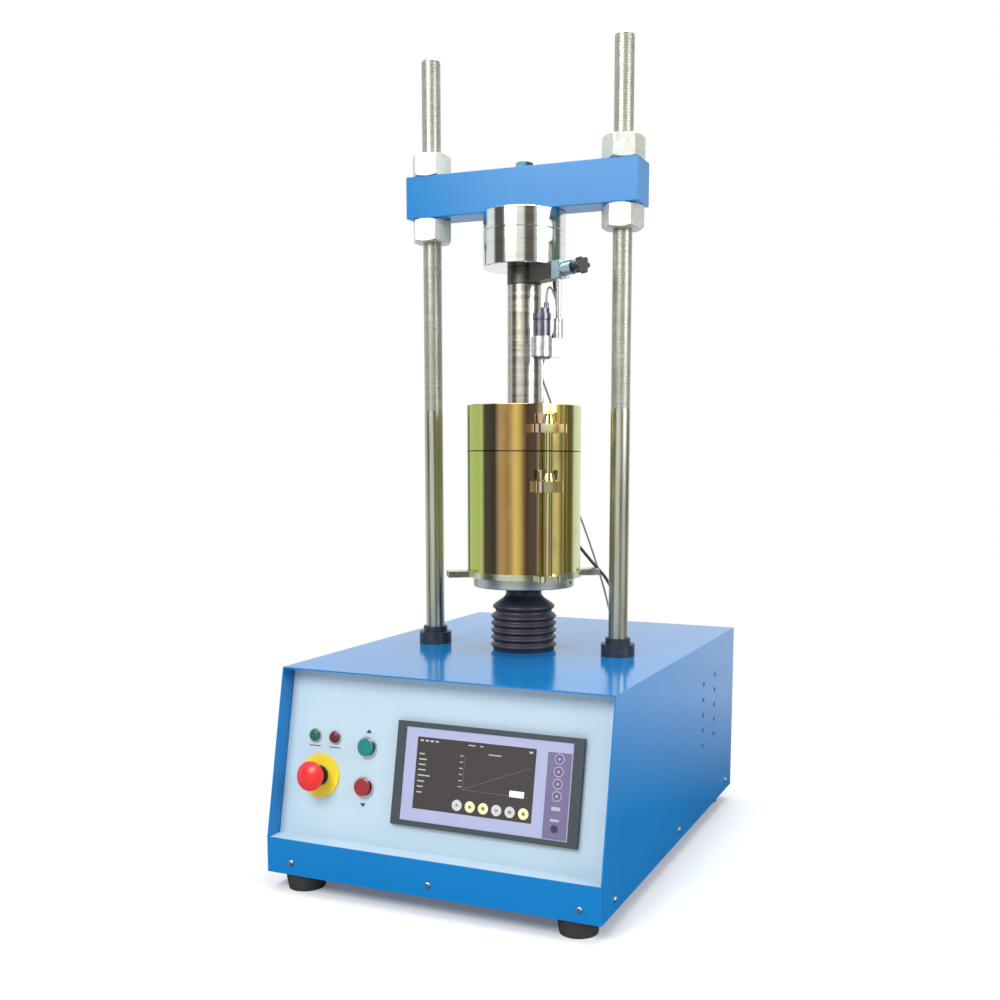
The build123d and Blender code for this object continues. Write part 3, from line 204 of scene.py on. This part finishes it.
cable("load_cell_lead", "load_cell_cable", "cable_black", cell_cable_route, 0.005, black_sheath)
cable("transducer_lead", "transducer_cable", "cable_grey", transducer_cable_route, 0.003,
      grey_sheath)


# Floor, background and lamps
# A white floor that fades into a white background, under soft lamps. Polished metal mirrors
# broad pale and dark bands, as a studio has with its open and closed sides.
def emission(tree, strength):
    return add_node(tree, "ShaderNodeEmission", {"Strength": strength}).outputs["Emission"]


def either(tree, share, first, second):
    return add_node(tree, "ShaderNodeMixShader", {"Fac": share, 1: first, 2: second}).outputs["Shader"]


def floor_finish():
    material = finish("white_floor", (0.86, 0.86, 0.85), 0.6)
    tree = material.node_tree
    matt = tree.nodes["Principled BSDF"].outputs["BSDF"]
    rays = add_node(tree, "ShaderNodeLightPath")
    reach = add_node(tree, "ShaderNodeVectorMath", {"Vector": place_of(tree)}, operation="LENGTH")
    distance = reach.outputs["Value"]
    fade_from, fade_to = 0.45, 0.85
    fading = remap(tree, distance, fade_from, fade_to, 0.0, 1.0)
    lit_up = add_node(tree, "ShaderNodeAddShader", {0: matt, 1: emission(tree, 0.12)})
    faded = either(tree, fading, lit_up.outputs["Shader"], emission(tree, 1.0))
    seen = either(tree, rays.outputs["Is Camera Ray"], matt, faded)
    dark_within, pale_beyond = 0.40, 1.3
    glint = emission(tree, remap(tree, distance, dark_within, pale_beyond, 0.06, 0.85))
    mirrored = either(tree, rays.outputs["Is Glossy Ray"], seen, glint)
    tree.links.new(mirrored, tree.nodes["Material Output"].inputs["Surface"])
    return material


floor_radius = 1.7
bm = bmesh.new()
bmesh.ops.create_circle(bm, cap_ends=True, segments=96, radius=floor_radius)
mesh = bpy.data.meshes.new("floor")
bm.to_mesh(mesh)
bm.free()
floor = bpy.data.objects.new("floor", mesh)
scene.collection.objects.link(floor)
dress(floor, floor_finish())


camera_bearing = math.radians(-66.3)


def by_bearing(tree, parts, stops, sway=None):
    # Stops are in degrees, anticlockwise from the side that the camera stands on
    bearing = add_node(tree, "ShaderNodeMath", {
        0: parts.outputs["Y"], 1: parts.outputs["X"]}, operation="ARCTAN2")
    if sway is not None:
        bearing = add_node(tree, "ShaderNodeMath", {0: bearing.outputs[0], 1: sway}, operation="ADD")
    turned = add_node(tree, "ShaderNodeMath", {
        0: bearing.outputs[0], 1: camera_bearing}, operation="SUBTRACT")
    wrapped = add_node(tree, "ShaderNodeMath", {
        0: turned.outputs[0], 1: math.pi, 2: -math.pi}, operation="WRAP")
    share = remap(tree, wrapped.outputs[0], -math.pi, math.pi, 0.0, 1.0)
    bands = add_node(tree, "ShaderNodeValToRGB", {"Fac": share})
    ramp = bands.color_ramp
    while len(ramp.elements) < len(stops):
        ramp.elements.new(0.5)
    for element, (angle, color) in zip(ramp.elements, stops):
        element.position = (angle + 180) / 360
        element.color = (*color, 1.0)
    return bands.outputs["Color"]


def surroundings():
    world = bpy.data.worlds.new("surroundings")
    world.use_nodes = True
    tree = world.node_tree
    way = add_node(tree, "ShaderNodeTexCoord").outputs["Generated"]
    parts = add_node(tree, "ShaderNodeSeparateXYZ", {"Vector": way})
    pale, shade, cream = (0.95, 0.97, 0.96), (0.10, 0.11, 0.10), (1.0, 0.97, 0.88)
    brown, grey, moss = (0.15, 0.13, 0.11), (0.55, 0.57, 0.54), (0.16, 0.18, 0.15)
    stops = [(-180, pale), (-94, pale), (-86, shade), (-60, shade), (-50, cream), (-4, cream),
             (4, brown), (24, brown), (30, grey), (50, grey), (54, brown), (58, grey), (72, grey),
             (80, moss), (112, moss), (122, pale), (180, pale)]
    walls = by_bearing(tree, parts, stops)
    overhead = remap(tree, parts.outputs["Z"], 0.45, 0.8, 0.0, 1.0)
    dome = mix_colors(tree, overhead, walls, (0.85, 0.86, 0.88, 1.0))
    rays = add_node(tree, "ShaderNodeLightPath")
    mirrored = mix_colors(tree, rays.outputs["Is Glossy Ray"], (0.30, 0.31, 0.32, 1.0), dome)
    seen = mix_colors(tree, rays.outputs["Is Camera Ray"], mirrored, (1.0, 1.0, 1.0, 1.0))
    tree.links.new(seen, tree.nodes["Background"].inputs["Color"])
    return world


scene.world = surroundings()


def lamp(name, place, target, size, power):
    data = bpy.data.lights.new(name, "AREA")
    data.shape = "SQUARE"
    data.size = size
    data.energy = power
    data.specular_factor = 0.0
    light = bpy.data.objects.new(name, data)
    scene.collection.objects.link(light)
    aim = (Vector(target) - Vector(place)).to_track_quat("-Z", "Y")
    light.matrix_world = Matrix.Translation(place) @ aim.to_matrix().to_4x4()


lamp("overhead", (0.2, 0.3, 2.7), (0.0, 0.0, 0.3), 2.0, 52.0)
lamp("front_high", (-0.5, -2.0, 1.9), (0.0, 0.0, 0.8), 1.2, 46.0)
lamp("right", (2.2, -0.6, 1.3), (0.2, 0.0, 0.3), 1.2, 30.0)


# Cabinet
# Hood, tray and rear panel are folded steel sheet with a glossy blue powder coat. The
# operator panel is the same sheet in pale grey, set back between the hood's sides.
def powder_coat(name, color, roughness, gloss=0.5):
    shade = tuple(0.9 * value for value in color)
    tint = tuple(min(1.0, 1.04 * value) for value in color)
    material = finish(name, color, roughness)
    tree = material.node_tree
    tree.nodes["Principled BSDF"].inputs["Specular IOR Level"].default_value = gloss
    vector = place_of(tree)
    vary_color(material, noise(tree, vector, 7.0, 3.0), shade, tint)
    roughen(material, noise(tree, vector, 900.0, 1.0), 0.0002, 0.06)
    return material


blue_coat = powder_coat("blue_coat", (0.003, 0.185, 0.50), 0.14, gloss=0.4)
panel_coat = powder_coat("panel_coat", (0.49, 0.63, 0.73), 0.42)
grey_coat = powder_coat("grey_coat", (0.16, 0.17, 0.18), 0.5)
for name in ("hood", "base_tray", "rear_panel"):
    dress(nodes[name], blue_coat)
dress(nodes["front_panel"], panel_coat)
for name in ("lower_frame", "lower_bridge", "motor_bracket"):
    dress(nodes[name], grey_coat)

vent_radius, lip_radius, rim_radius = 0.00325, 0.00395, 0.0058
rim_sunk, rim_height = 0.0004, 0.0007
vent_columns = ((0.220, 0.244), (0.150, 0.240))
vent_rows, vent_pitch, hood_half = 5, 0.0248, 0.245
section = ((vent_radius, -rim_sunk), (lip_radius, rim_height), (rim_radius, 0.0))
bm = bmesh.new()
for side in (-1, 1):
    for vent_y, vent_top in vent_columns:
        for row in range(vent_rows):
            hole = Vector((side * hood_half, MACHINE_Y + vent_y, vent_top - row * vent_pitch))
            corners = [bm.verts.new(hole + Vector((side * out, 0.0, radius))) for radius, out in section]
            profile = [bm.edges.new(pair) for pair in zip(corners, corners[1:])]
            bmesh.ops.spin(bm, geom=corners + profile, cent=hole, axis=(1.0, 0.0, 0.0),
                           angle=math.tau, steps=20, use_merge=True)
bmesh.ops.recalc_face_normals(bm, faces=bm.faces)
mesh = bpy.data.meshes.new("vent_rims")
bm.to_mesh(mesh)
bm.free()
mesh.shade_smooth()
new_piece("vent_rims", mesh, "frame", "blue_paint", blue_coat)

foot_rubber = rubber("foot_rubber", (0.030, 0.027, 0.029), (0.05, 0.045, 0.048))
dress(nodes["rubber_feet"], foot_rubber)


# Fasteners and columns
# Zinc-plated screws and nuts, and two ground steel columns. The upper half of each column
# carries a fine rolled thread, its crests just within the plain shank.
def metal(name, dark, light, roughness, grain=(1.0, 1.0, 1.0), depth=0.05, metallic=1.0):
    material = finish(name, light, roughness, metallic)
    tree = material.node_tree
    vector = place_of(tree, grain)
    streaks = noise(tree, vector, 180.0, 4.0)
    vary_color(material, remap(tree, streaks, 0.3, 0.7, 0.0, 1.0), dark, light)
    rough = remap(tree, streaks, 0.25, 0.75, roughness * 0.8, roughness * 1.25)
    tree.links.new(rough, tree.nodes["Principled BSDF"].inputs["Roughness"])
    roughen(material, streaks, 0.0002, depth)
    return material


along_z = (1.0, 1.0, 0.04)
around_z = (0.05, 0.05, 1.0)
zinc = metal("zinc_plate", (0.46, 0.50, 0.53), (0.62, 0.66, 0.68), 0.35)
nut_zinc = metal("nut_zinc", (0.60, 0.63, 0.58), (0.72, 0.75, 0.69), 0.48, depth=0.08, metallic=0.75)
column_steel = metal("column_steel", (0.40, 0.41, 0.34), (0.52, 0.54, 0.46), 0.30, along_z)
thread_steel = metal("thread_steel", (0.34, 0.36, 0.30), (0.44, 0.46, 0.39), 0.5, around_z, metallic=0.6)
dress(nodes["screws"], zinc)
dress(nodes["column_base_nuts"], zinc)
dress(nodes["columns"], column_steel)
column_nuts = [f"column_nut_{level}_{side}" for level in ("upper", "lower") for side in ("left", "right")]
for name in column_nuts:
    dress(nodes[name], nut_zinc)

column_x = 0.152
thread_from, thread_to = 0.6635, 1.176
thread_pitch = 0.002
thread_core, thread_crest = 0.0133, 0.0140
turns = int((thread_to - thread_from) / thread_pitch)
thread_steps = 24
axis = Vector((-column_x, MACHINE_Y, 0.0))
heights = ((thread_core, 0.0), (thread_crest, 0.4), (thread_crest, 0.6), (thread_core, 1.0))
bm = bmesh.new()
corners = [bm.verts.new(axis + Vector((radius, 0.0, thread_from + share * thread_pitch)))
           for radius, share in heights]
profile = [bm.edges.new(pair) for pair in zip(corners, corners[1:])]
bmesh.ops.spin(bm, geom=corners + profile, cent=axis, axis=(0.0, 0.0, 1.0),
               dvec=(0.0, 0.0, thread_pitch / thread_steps), angle=math.tau,
               steps=thread_steps, use_merge=False)
bmesh.ops.recalc_face_normals(bm, faces=bm.faces)
mesh = bpy.data.meshes.new("column_threads")
bm.to_mesh(mesh)
bm.free()
threads = new_piece("column_threads", mesh, "frame", "column_steel", thread_steel)
repeats = (("turns", turns, (0.0, 0.0, thread_pitch)), ("columns", 2, (2 * column_x, 0.0, 0.0)))
for name, count, step in repeats:
    array = threads.modifiers.new(name, "ARRAY")
    array.use_relative_offset = False
    array.use_constant_offset = True
    array.constant_offset_displace = step
    array.count = count

black_oxide = metal("black_oxide", (0.030, 0.034, 0.048), (0.05, 0.056, 0.075), 0.42, metallic=0.4)
dress(nodes["column_collars"], black_oxide)

# Crosshead
# Solid steel bar in a duller coat of the same blue, hung on the columns between pairs of
# nuts, with the bolt of the load cell through its middle.
beam_coat = powder_coat("beam_coat", (0.003, 0.18, 0.48), 0.25, gloss=0.25)
dress(nodes["crosshead_beam"], beam_coat)
bolt_steel = metal("bolt_steel", (0.02, 0.07, 0.09), (0.04, 0.12, 0.15), 0.35, metallic=0.7)
dress(nodes["cell_bolt"], bolt_steel)

# Load train
# Polished load cell in two parts, a blackened adapter and a ground plunger, all turned
# on a lathe, so that their fine grain runs round them.
cell_chrome = metal("cell_chrome", (0.66, 0.69, 0.66), (0.80, 0.82, 0.79), 0.10, around_z, 0.02)
for name in ("load_cell_body", "load_cell_cover"):
    dress(nodes[name], cell_chrome)
adapter_black = metal("adapter_black", (0.07, 0.07, 0.068), (0.12, 0.118, 0.112), 0.4, around_z)
dress(nodes["plunger_adapter"], adapter_black)
plunger_steel = metal("plunger_steel", (0.42, 0.41, 0.36), (0.55, 0.54, 0.48), 0.24, around_z)
dress(nodes["penetration_plunger"], plunger_steel)

# Displacement transducer
# The gauge hangs from a clamped rod beside the plunger and feels the rim of the mould
# with a sprung spindle. A star knob locks the rod in its block.
clamp_blue = metal("clamp_blue", (0.30, 0.42, 0.48), (0.42, 0.55, 0.62), 0.3)
dress(nodes["clamp_block"], clamp_blue)
rod_chrome = metal("rod_chrome", (0.62, 0.65, 0.66), (0.75, 0.78, 0.79), 0.14, around_z, 0.02)
for name in ("transducer_rod", "transducer_spindle"):
    dress(nodes[name], rod_chrome)
dress(nodes["transducer_holder"], metal("holder_alloy", (0.50, 0.53, 0.55), (0.66, 0.69, 0.70), 0.35))
dress(nodes["transducer_body"], metal("grey_anodised", (0.14, 0.14, 0.18), (0.20, 0.20, 0.25), 0.32))


def plastic(name, color, roughness, grain=0.12):
    material = finish(name, color, roughness)
    tree = material.node_tree
    vector = place_of(tree)
    vary_color(material, noise(tree, vector, 25.0, 2.0), tuple(0.93 * value for value in color), color)
    roughen(material, noise(tree, vector, 1600.0, 1.0), 0.0001, grain)
    return material


dark_plastic = plastic("dark_plastic", (0.022, 0.022, 0.026), 0.45)
dress(nodes["clamp_knob"], dark_plastic)
dress(nodes["cable_glands"], dark_plastic)


# Soil mould
# Steel cylinder and collar, held to a paler base plate by tie rods and wing nuts. All but
# the plate are yellow zinc, streaked upright in gold, green and rose: its own iridescent hue mixed with
# painted reflection.
seam_height, seam_half = 0.6037, 0.0009


def yellow_zinc(name, roughness):
    material = finish(name, (0.75, 0.62, 0.28), roughness, 1.0)
    tree = material.node_tree
    vector = place_of(tree, shift=(0.0, -MACHINE_Y, 0.0))
    parts = add_node(tree, "ShaderNodeSeparateXYZ", {"Vector": vector})
    drift = noise(tree, place_of(tree, (1.0, 1.0, 0.15)), 9.0, 3.0)
    sway = remap(tree, drift, 0.2, 0.8, -0.05, 0.05)
    gold, bright_gold, ochre = (0.55, 0.40, 0.12), (0.95, 0.76, 0.27), (0.30, 0.19, 0.05)
    leaf, lime, olive = (0.38, 0.48, 0.10), (0.63, 0.68, 0.36), (0.60, 0.58, 0.26)
    rose, mauve, tan = (0.40, 0.25, 0.16), (0.55, 0.45, 0.33), (0.38, 0.26, 0.10)
    # These bands are partly the plating's own iridescence and partly painted reflection, laid out by
    # bearing from the camera's side.
    stops = [(-180, gold), (-155, leaf), (-125, gold), (-95, lime), (-75, leaf), (-50, leaf),
             (-43, olive), (-35, mauve), (-28, rose), (-20, tan), (-15, ochre), (-12, tan),
             (-8, (0.70, 0.50, 0.15)), (-4, gold), (0, ochre), (7, mauve), (15, mauve), (20, olive),
             (25, ochre), (31, bright_gold), (41, bright_gold), (47, gold), (56, olive), (68, lime),
             (84, lime), (105, leaf), (130, gold), (150, rose), (180, gold)]
    hue_bands_and_reflections = by_bearing(tree, parts, stops, sway)
    blotches = noise(tree, place_of(tree, (1.0, 1.0, 0.5)), 28.0, 2.0)
    stained = remap(tree, blotches, 0.52, 0.72, 0.0, 0.55)
    plating_with_reflections = mix_colors(tree, stained, hue_bands_and_reflections, (0.55, 0.36, 0.24, 1.0))
    # A thin band round the joint of body and collar is painted dark: painted shadow in the groove there.
    seam_shadow_band = add_node(tree, "ShaderNodeMath", {
        0: parts.outputs["Z"], 1: seam_height, 2: seam_half}, operation="COMPARE").outputs[0]
    painted_seam_shadow = mix_colors(tree, seam_shadow_band, plating_with_reflections, (0.06, 0.05, 0.03, 1.0))
    tree.links.new(painted_seam_shadow, tree.nodes["Principled BSDF"].inputs["Base Color"])
    streaks = noise(tree, place_of(tree, along_z), 150.0, 3.0)
    roughen(material, streaks, 0.0002, 0.03)
    return material


mould_zinc = yellow_zinc("mould_zinc", 0.09)
wing_names = [f"wing_nut_{side}_{level}" for side in ("front", "rear") for level in ("upper", "lower")]
for name in ["mould_body", "mould_collar", "tie_rods"] + wing_names:
    dress(nodes[name], mould_zinc)
    edges = nodes[name].modifiers.new("worn_edges", "BEVEL")
    edges.width = 0.0012
    edges.segments = 3
    edges.limit_method = "ANGLE"
plate_zinc = metal("plate_zinc", (0.50, 0.53, 0.42), (0.62, 0.65, 0.52), 0.2, depth=0.02)
dress(nodes["mould_base_plate"], plate_zinc)

# Platen and bellows
# Turned steel platen on the ram, and a moulded rubber bellows that keeps grit off the
# screw.
platen_steel = metal("platen_steel", (0.36, 0.40, 0.40), (0.52, 0.56, 0.55), 0.34, around_z)
dress(nodes["platen"], platen_steel)
dress(nodes["ram_screw"], plunger_steel)


def rounded(corners, share=0.32, steps=4):
    points = [corners[0]]
    for before, corner, after in zip(corners, corners[1:], corners[2:]):
        enter = corner.lerp(before, share)
        leave = corner.lerp(after, share)
        for step in range(steps + 1):
            along = step / steps
            points.append(enter.lerp(corner, along).lerp(corner.lerp(leave, along), along))
    return points + [corners[-1]]


neck_radius, first_fold, first_waist = 0.027, 0.049, 0.041
crest_radius, valley_radius, cuff_radius = 0.051, 0.0445, 0.0465
bellows_low, bellows_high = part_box("bellows")[0][2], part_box("bellows")[1][2]
neck_foot, first_crest, waist_height = 0.386, 0.371, 0.3634
top_crest, fold_pitch, fold_count = 0.3556, 0.0108, 5
outline = [(neck_radius, bellows_high), (neck_radius, neck_foot), (first_fold, first_crest),
           (first_waist, waist_height)]
for fold in range(fold_count):
    crest = top_crest - fold * fold_pitch
    outline.append((crest_radius, crest))
    outline.append((valley_radius if fold < fold_count - 1 else cuff_radius, crest - fold_pitch / 2))
outline += [(cuff_radius, bellows_low)]
axis = Vector((0.0, MACHINE_Y, 0.0))
bm = bmesh.new()
corners = [axis + Vector((radius, 0.0, height)) for radius, height in outline]
wall = Vector((0.0018, 0.0, 0.0))
outer = rounded(corners)
ring = [bm.verts.new(point) for point in outer + [point - wall for point in reversed(outer)]]
profile = [bm.edges.new(pair) for pair in zip(ring, ring[1:] + ring[:1])]
bmesh.ops.spin(bm, geom=ring + profile, cent=axis, axis=(0.0, 0.0, 1.0), angle=math.tau,
               steps=72, use_merge=True)
bmesh.ops.recalc_face_normals(bm, faces=bm.faces)
mesh = bpy.data.meshes.new("ram_bellows")
bm.to_mesh(mesh)
bm.free()
mesh.shade_smooth()
bellows_rubber = rubber("bellows_rubber", (0.022, 0.019, 0.028), (0.045, 0.04, 0.052), 0.42)
bellows = new_piece("ram_bellows", mesh, None, "black_rubber", bellows_rubber)
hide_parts("bellows")
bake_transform(bellows)

# Drive inside the cabinet
# Cast jack whose nut is turned by a motor through a toothed belt, with the electronics and
# the contact blocks of the buttons beside it. It is seen only with the cabinet open.
cast_iron = metal("cast_iron", (0.10, 0.10, 0.11), (0.16, 0.16, 0.17), 0.6, metallic=0.5, depth=0.3)
alloy = metal("pulley_alloy", (0.55, 0.56, 0.57), (0.68, 0.69, 0.70), 0.35, around_z)
dress(nodes["jack_housing"], cast_iron)
for name in ("jack_pulley_nut", "motor_pulley"):
    dress(nodes[name], alloy)
dress(nodes["drive_motor"], powder_coat("motor_black", (0.03, 0.03, 0.035), 0.4))
dress(nodes["timing_belt"], foot_rubber)
dress(nodes["drive_electronics"], plastic("case_grey", (0.45, 0.47, 0.48), 0.5))
dress(nodes["contact_blocks"], dark_plastic)

# Controls
# Moulded lamps and push buttons in chromed rings, and a red mushroom head on a yellow
# disc that stops the machine. Arrows beside the buttons give the platen's direction.
bezel_chrome = metal("bezel_chrome", (0.62, 0.63, 0.64), (0.74, 0.75, 0.76), 0.2)
dress(nodes["control_bezels"], bezel_chrome)
dress(nodes["green_lamp_lens"], plastic("green_lens", (0.010, 0.13, 0.09), 0.15, 0.02))
dress(nodes["red_lamp_lens"], plastic("red_lens", (0.13, 0.015, 0.02), 0.15, 0.02))
dress(nodes["up_button"], plastic("green_cap", (0.008, 0.20, 0.20), 0.3))
dress(nodes["down_button"], plastic("red_cap", (0.30, 0.025, 0.03), 0.3))
dress(nodes["estop_ring"], plastic("yellow_disc", (0.85, 0.68, 0.04), 0.4))
dress(nodes["estop_stem"], dark_plastic)
dress(nodes["estop_head"], plastic("red_mushroom", (0.72, 0.025, 0.02), 0.3))

panel_lean, panel_rise, panel_recess = 0.046, 0.230, 0.026
hood_reach, hood_top = 0.274, 0.304
tilt = math.atan2(panel_lean, panel_rise)
out_of_panel = Vector((0.0, -math.cos(tilt), math.sin(tilt)))
up_panel = Vector((0.0, math.sin(tilt), math.cos(tilt)))
hood_edge = Vector((0.0, MACHINE_Y - hood_reach, hood_top))
panel_top = hood_edge - out_of_panel * panel_recess
panel_frame = Matrix((
    (1.0, 0.0, 0.0, 0.0),
    (0.0, up_panel.y, out_of_panel.y, panel_top.y),
    (0.0, up_panel.z, out_of_panel.z, panel_top.z),
    (0.0, 0.0, 0.0, 1.0)))


def raised(bm, outline, low, high, material=0):
    verts = [bm.verts.new((x, -down, low)) for x, down in outline]
    face = bm.faces.new(verts)
    face.material_index = material
    lifted = bmesh.ops.extrude_face_region(bm, geom=[face])
    moved = [item for item in lifted["geom"] if isinstance(item, bmesh.types.BMVert)]
    bmesh.ops.translate(bm, vec=(0.0, 0.0, high - low), verts=moved)
    for vert in moved:
        for side in vert.link_faces:
            side.material_index = material


def bar(bm, x0, x1, down0, down1, low, high, material=0):
    raised(bm, [(x0, down0), (x1, down0), (x1, down1), (x0, down1)], low, high, material)


def disc(bm, x, down, radius, low, high, material, steps=28):
    turn = [math.tau * step / steps for step in range(steps)]
    raised(bm, [(x + radius * math.cos(a), down + radius * math.sin(a)) for a in turn], low, high, material)


def panel_piece(name, bm, slot, *materials):
    bmesh.ops.recalc_face_normals(bm, faces=bm.faces)
    bmesh.ops.transform(bm, matrix=panel_frame, verts=bm.verts)
    mesh = bpy.data.meshes.new(name)
    bm.to_mesh(mesh)
    bm.free()
    new_piece(name, mesh, "frame", slot, *materials)


ink = plastic("panel_ink", (0.02, 0.06, 0.09), 0.5)
ink_high = 0.0002
button_x, lamp_columns = -0.114, (-0.198, -0.166)
arrow_half, arrow_height, line_half = 0.0045, 0.0055, 0.009
bm = bmesh.new()
for down, way in ((0.0805, -1), (0.1755, 1)):
    raised(bm, [(button_x - arrow_half, down), (button_x + arrow_half, down),
                (button_x, down + way * arrow_height)], 0.0, ink_high)
for x in lamp_columns:
    bar(bm, x - line_half, x + line_half, 0.1045, 0.1058, 0.0, ink_high)
panel_piece("panel_marks", bm, "dark_plastic", ink)

# Operator display
# Dark plastic housing with a lilac film, a dark glass screen and a violet key strip. The
# screen shows a graph with one line, plain bars in place of words, and six round symbols.
dress(nodes["hmi_housing"], plastic("housing_plastic", (0.045, 0.058, 0.07), 0.4))
dress(nodes["hmi_fascia"], plastic("lilac_film", (0.40, 0.43, 0.64), 0.45))
dress(nodes["hmi_screen"], plastic("dark_screen", (0.045, 0.038, 0.040), 0.22, 0.0))


def lit(name, color, strength):
    material = finish(name, color, 0.4)
    shader = material.node_tree.nodes["Principled BSDF"]
    shader.inputs["Emission Color"].default_value = (*color, 1.0)
    shader.inputs["Emission Strength"].default_value = strength
    return material


screen_face = 0.0058
mark_sunk, mark_proud = 0.0002, 0.0001
mark_low, mark_high = screen_face - mark_sunk, screen_face + mark_proud
words, lines, white, gold_icon, grey_icon, dark_icon = 0, 1, 2, 3, 4, 5
# A bar is given by its left and right end, then its top and foot counted down the panel
words_left, word_height, title_length = -0.031, 0.0016, 0.0048
rows = ((0.0985, 0.008), (0.1055, 0.012), (0.1125, 0.010), (0.1195, 0.011), (0.1268, 0.018),
        (0.1345, 0.010), (0.1415, 0.009), (0.1490, 0.008))
titles = (-0.031, -0.0235, -0.016, -0.0085)
word_bars = [(words_left, words_left + length, down, down + word_height) for down, length in rows]
word_bars += [(x, x + title_length, 0.0805, 0.0828) for x in titles]
word_bars += [(0.0400, 0.0500, 0.0810, 0.0824), (0.0570, 0.0615, 0.0810, 0.0824),
              (0.1270, 0.1320, 0.0812, 0.0836), (0.0700, 0.0880, 0.0905, 0.0918)]
bm = bmesh.new()
for ends in word_bars:
    bar(bm, *ends, mark_low, mark_high, words)
graph_left, graph_right, graph_high, graph_low = 0.0360, 0.1300, 0.0960, 0.1400
axis_width, curve_width, curve_drop = 0.0005, 0.0006, 0.006
tick_from, tick_to, tick_width, tick_count, tick_spread = 0.0065, 0.0020, 0.0012, 6, 5.5
bar(bm, graph_left, graph_left + axis_width, graph_high, graph_low, mark_low, mark_high, lines)
bar(bm, graph_left, graph_right, graph_low, graph_low + axis_width, mark_low, mark_high, lines)
for tick in range(tick_count):
    down = graph_high + tick * (graph_low - graph_high) / tick_spread
    bar(bm, graph_left - tick_from, graph_left - tick_to, down, down + tick_width,
        mark_low, mark_high, words)
raised(bm, [(graph_left, graph_low), (graph_left, graph_low - curve_width),
            (graph_right, graph_high + curve_drop), (graph_right, graph_high + curve_drop + curve_width)],
       mark_low, mark_high, lines)
bar(bm, 0.1035, 0.1240, 0.1335, 0.1415, mark_low, mark_high, white)
icon_colors = (grey_icon, gold_icon, gold_icon, grey_icon, grey_icon, gold_icon)
icon_left, icon_pitch, icon_down = 0.0300, 0.0190, 0.1610
symbol_low, symbol_high = mark_high - 0.00005, mark_high + 0.0001
for number, color in enumerate(icon_colors):
    x = icon_left + number * icon_pitch
    disc(bm, x, icon_down, 0.0072, mark_low, mark_high, color)
    disc(bm, x, icon_down, 0.0030, symbol_low, symbol_high, dark_icon, 3 + number % 3)
panel_piece("screen_marks", bm, "screen_glass", lit("dim_words", (0.42, 0.41, 0.40), 0.2),
            lit("graph_lines", (0.13, 0.12, 0.13), 0.2), lit("white_key", (0.85, 0.86, 0.84), 0.3),
            lit("gold_key", (0.82, 0.78, 0.36), 0.3), lit("grey_key", (0.50, 0.50, 0.52), 0.2),
            lit("dark_symbol", (0.20, 0.19, 0.16), 0.1))

fascia_face = 0.0063
strip_low, strip_high = fascia_face - 0.0003, fascia_face + 0.00015
key_high = fascia_face + 0.0004
cap_low, cap_high, sign_high = key_high - 0.0001, key_high + 0.0002, key_high + 0.0003
strip, ring_mark, key, pale_key, ink_key = 0, 1, 2, 3, 4
key_x, ring_radius, cap_radius, sign_radius = 0.1692, 0.0068, 0.0054, 0.0024
bm = bmesh.new()
bar(bm, 0.1530, 0.1858, 0.0786, 0.1877, strip_low, strip_high, strip)
for down in (0.0865, 0.1025, 0.1180, 0.1335):
    disc(bm, key_x, down, ring_radius, fascia_face, key_high, ring_mark)
    disc(bm, key_x, down, cap_radius, cap_low, cap_high, key)
    disc(bm, key_x, down, sign_radius, key_high, sign_high, ring_mark, 4)
bar(bm, 0.1630, 0.1750, 0.1470, 0.1515, fascia_face, key_high, pale_key)
bar(bm, 0.1625, 0.1745, 0.1625, 0.1655, fascia_face, key_high, pale_key)
disc(bm, 0.1690, 0.1745, 0.0050, fascia_face, key_high, ink_key)
panel_piece("key_strip", bm, "lilac_film", plastic("violet_film", (0.17, 0.145, 0.27), 0.45),
            plastic("key_ring", (0.42, 0.38, 0.55), 0.4), plastic("violet_key", (0.13, 0.10, 0.20), 0.4),
            plastic("pale_bar", (0.50, 0.47, 0.55), 0.4), plastic("ink_key", (0.05, 0.03, 0.07), 0.4))
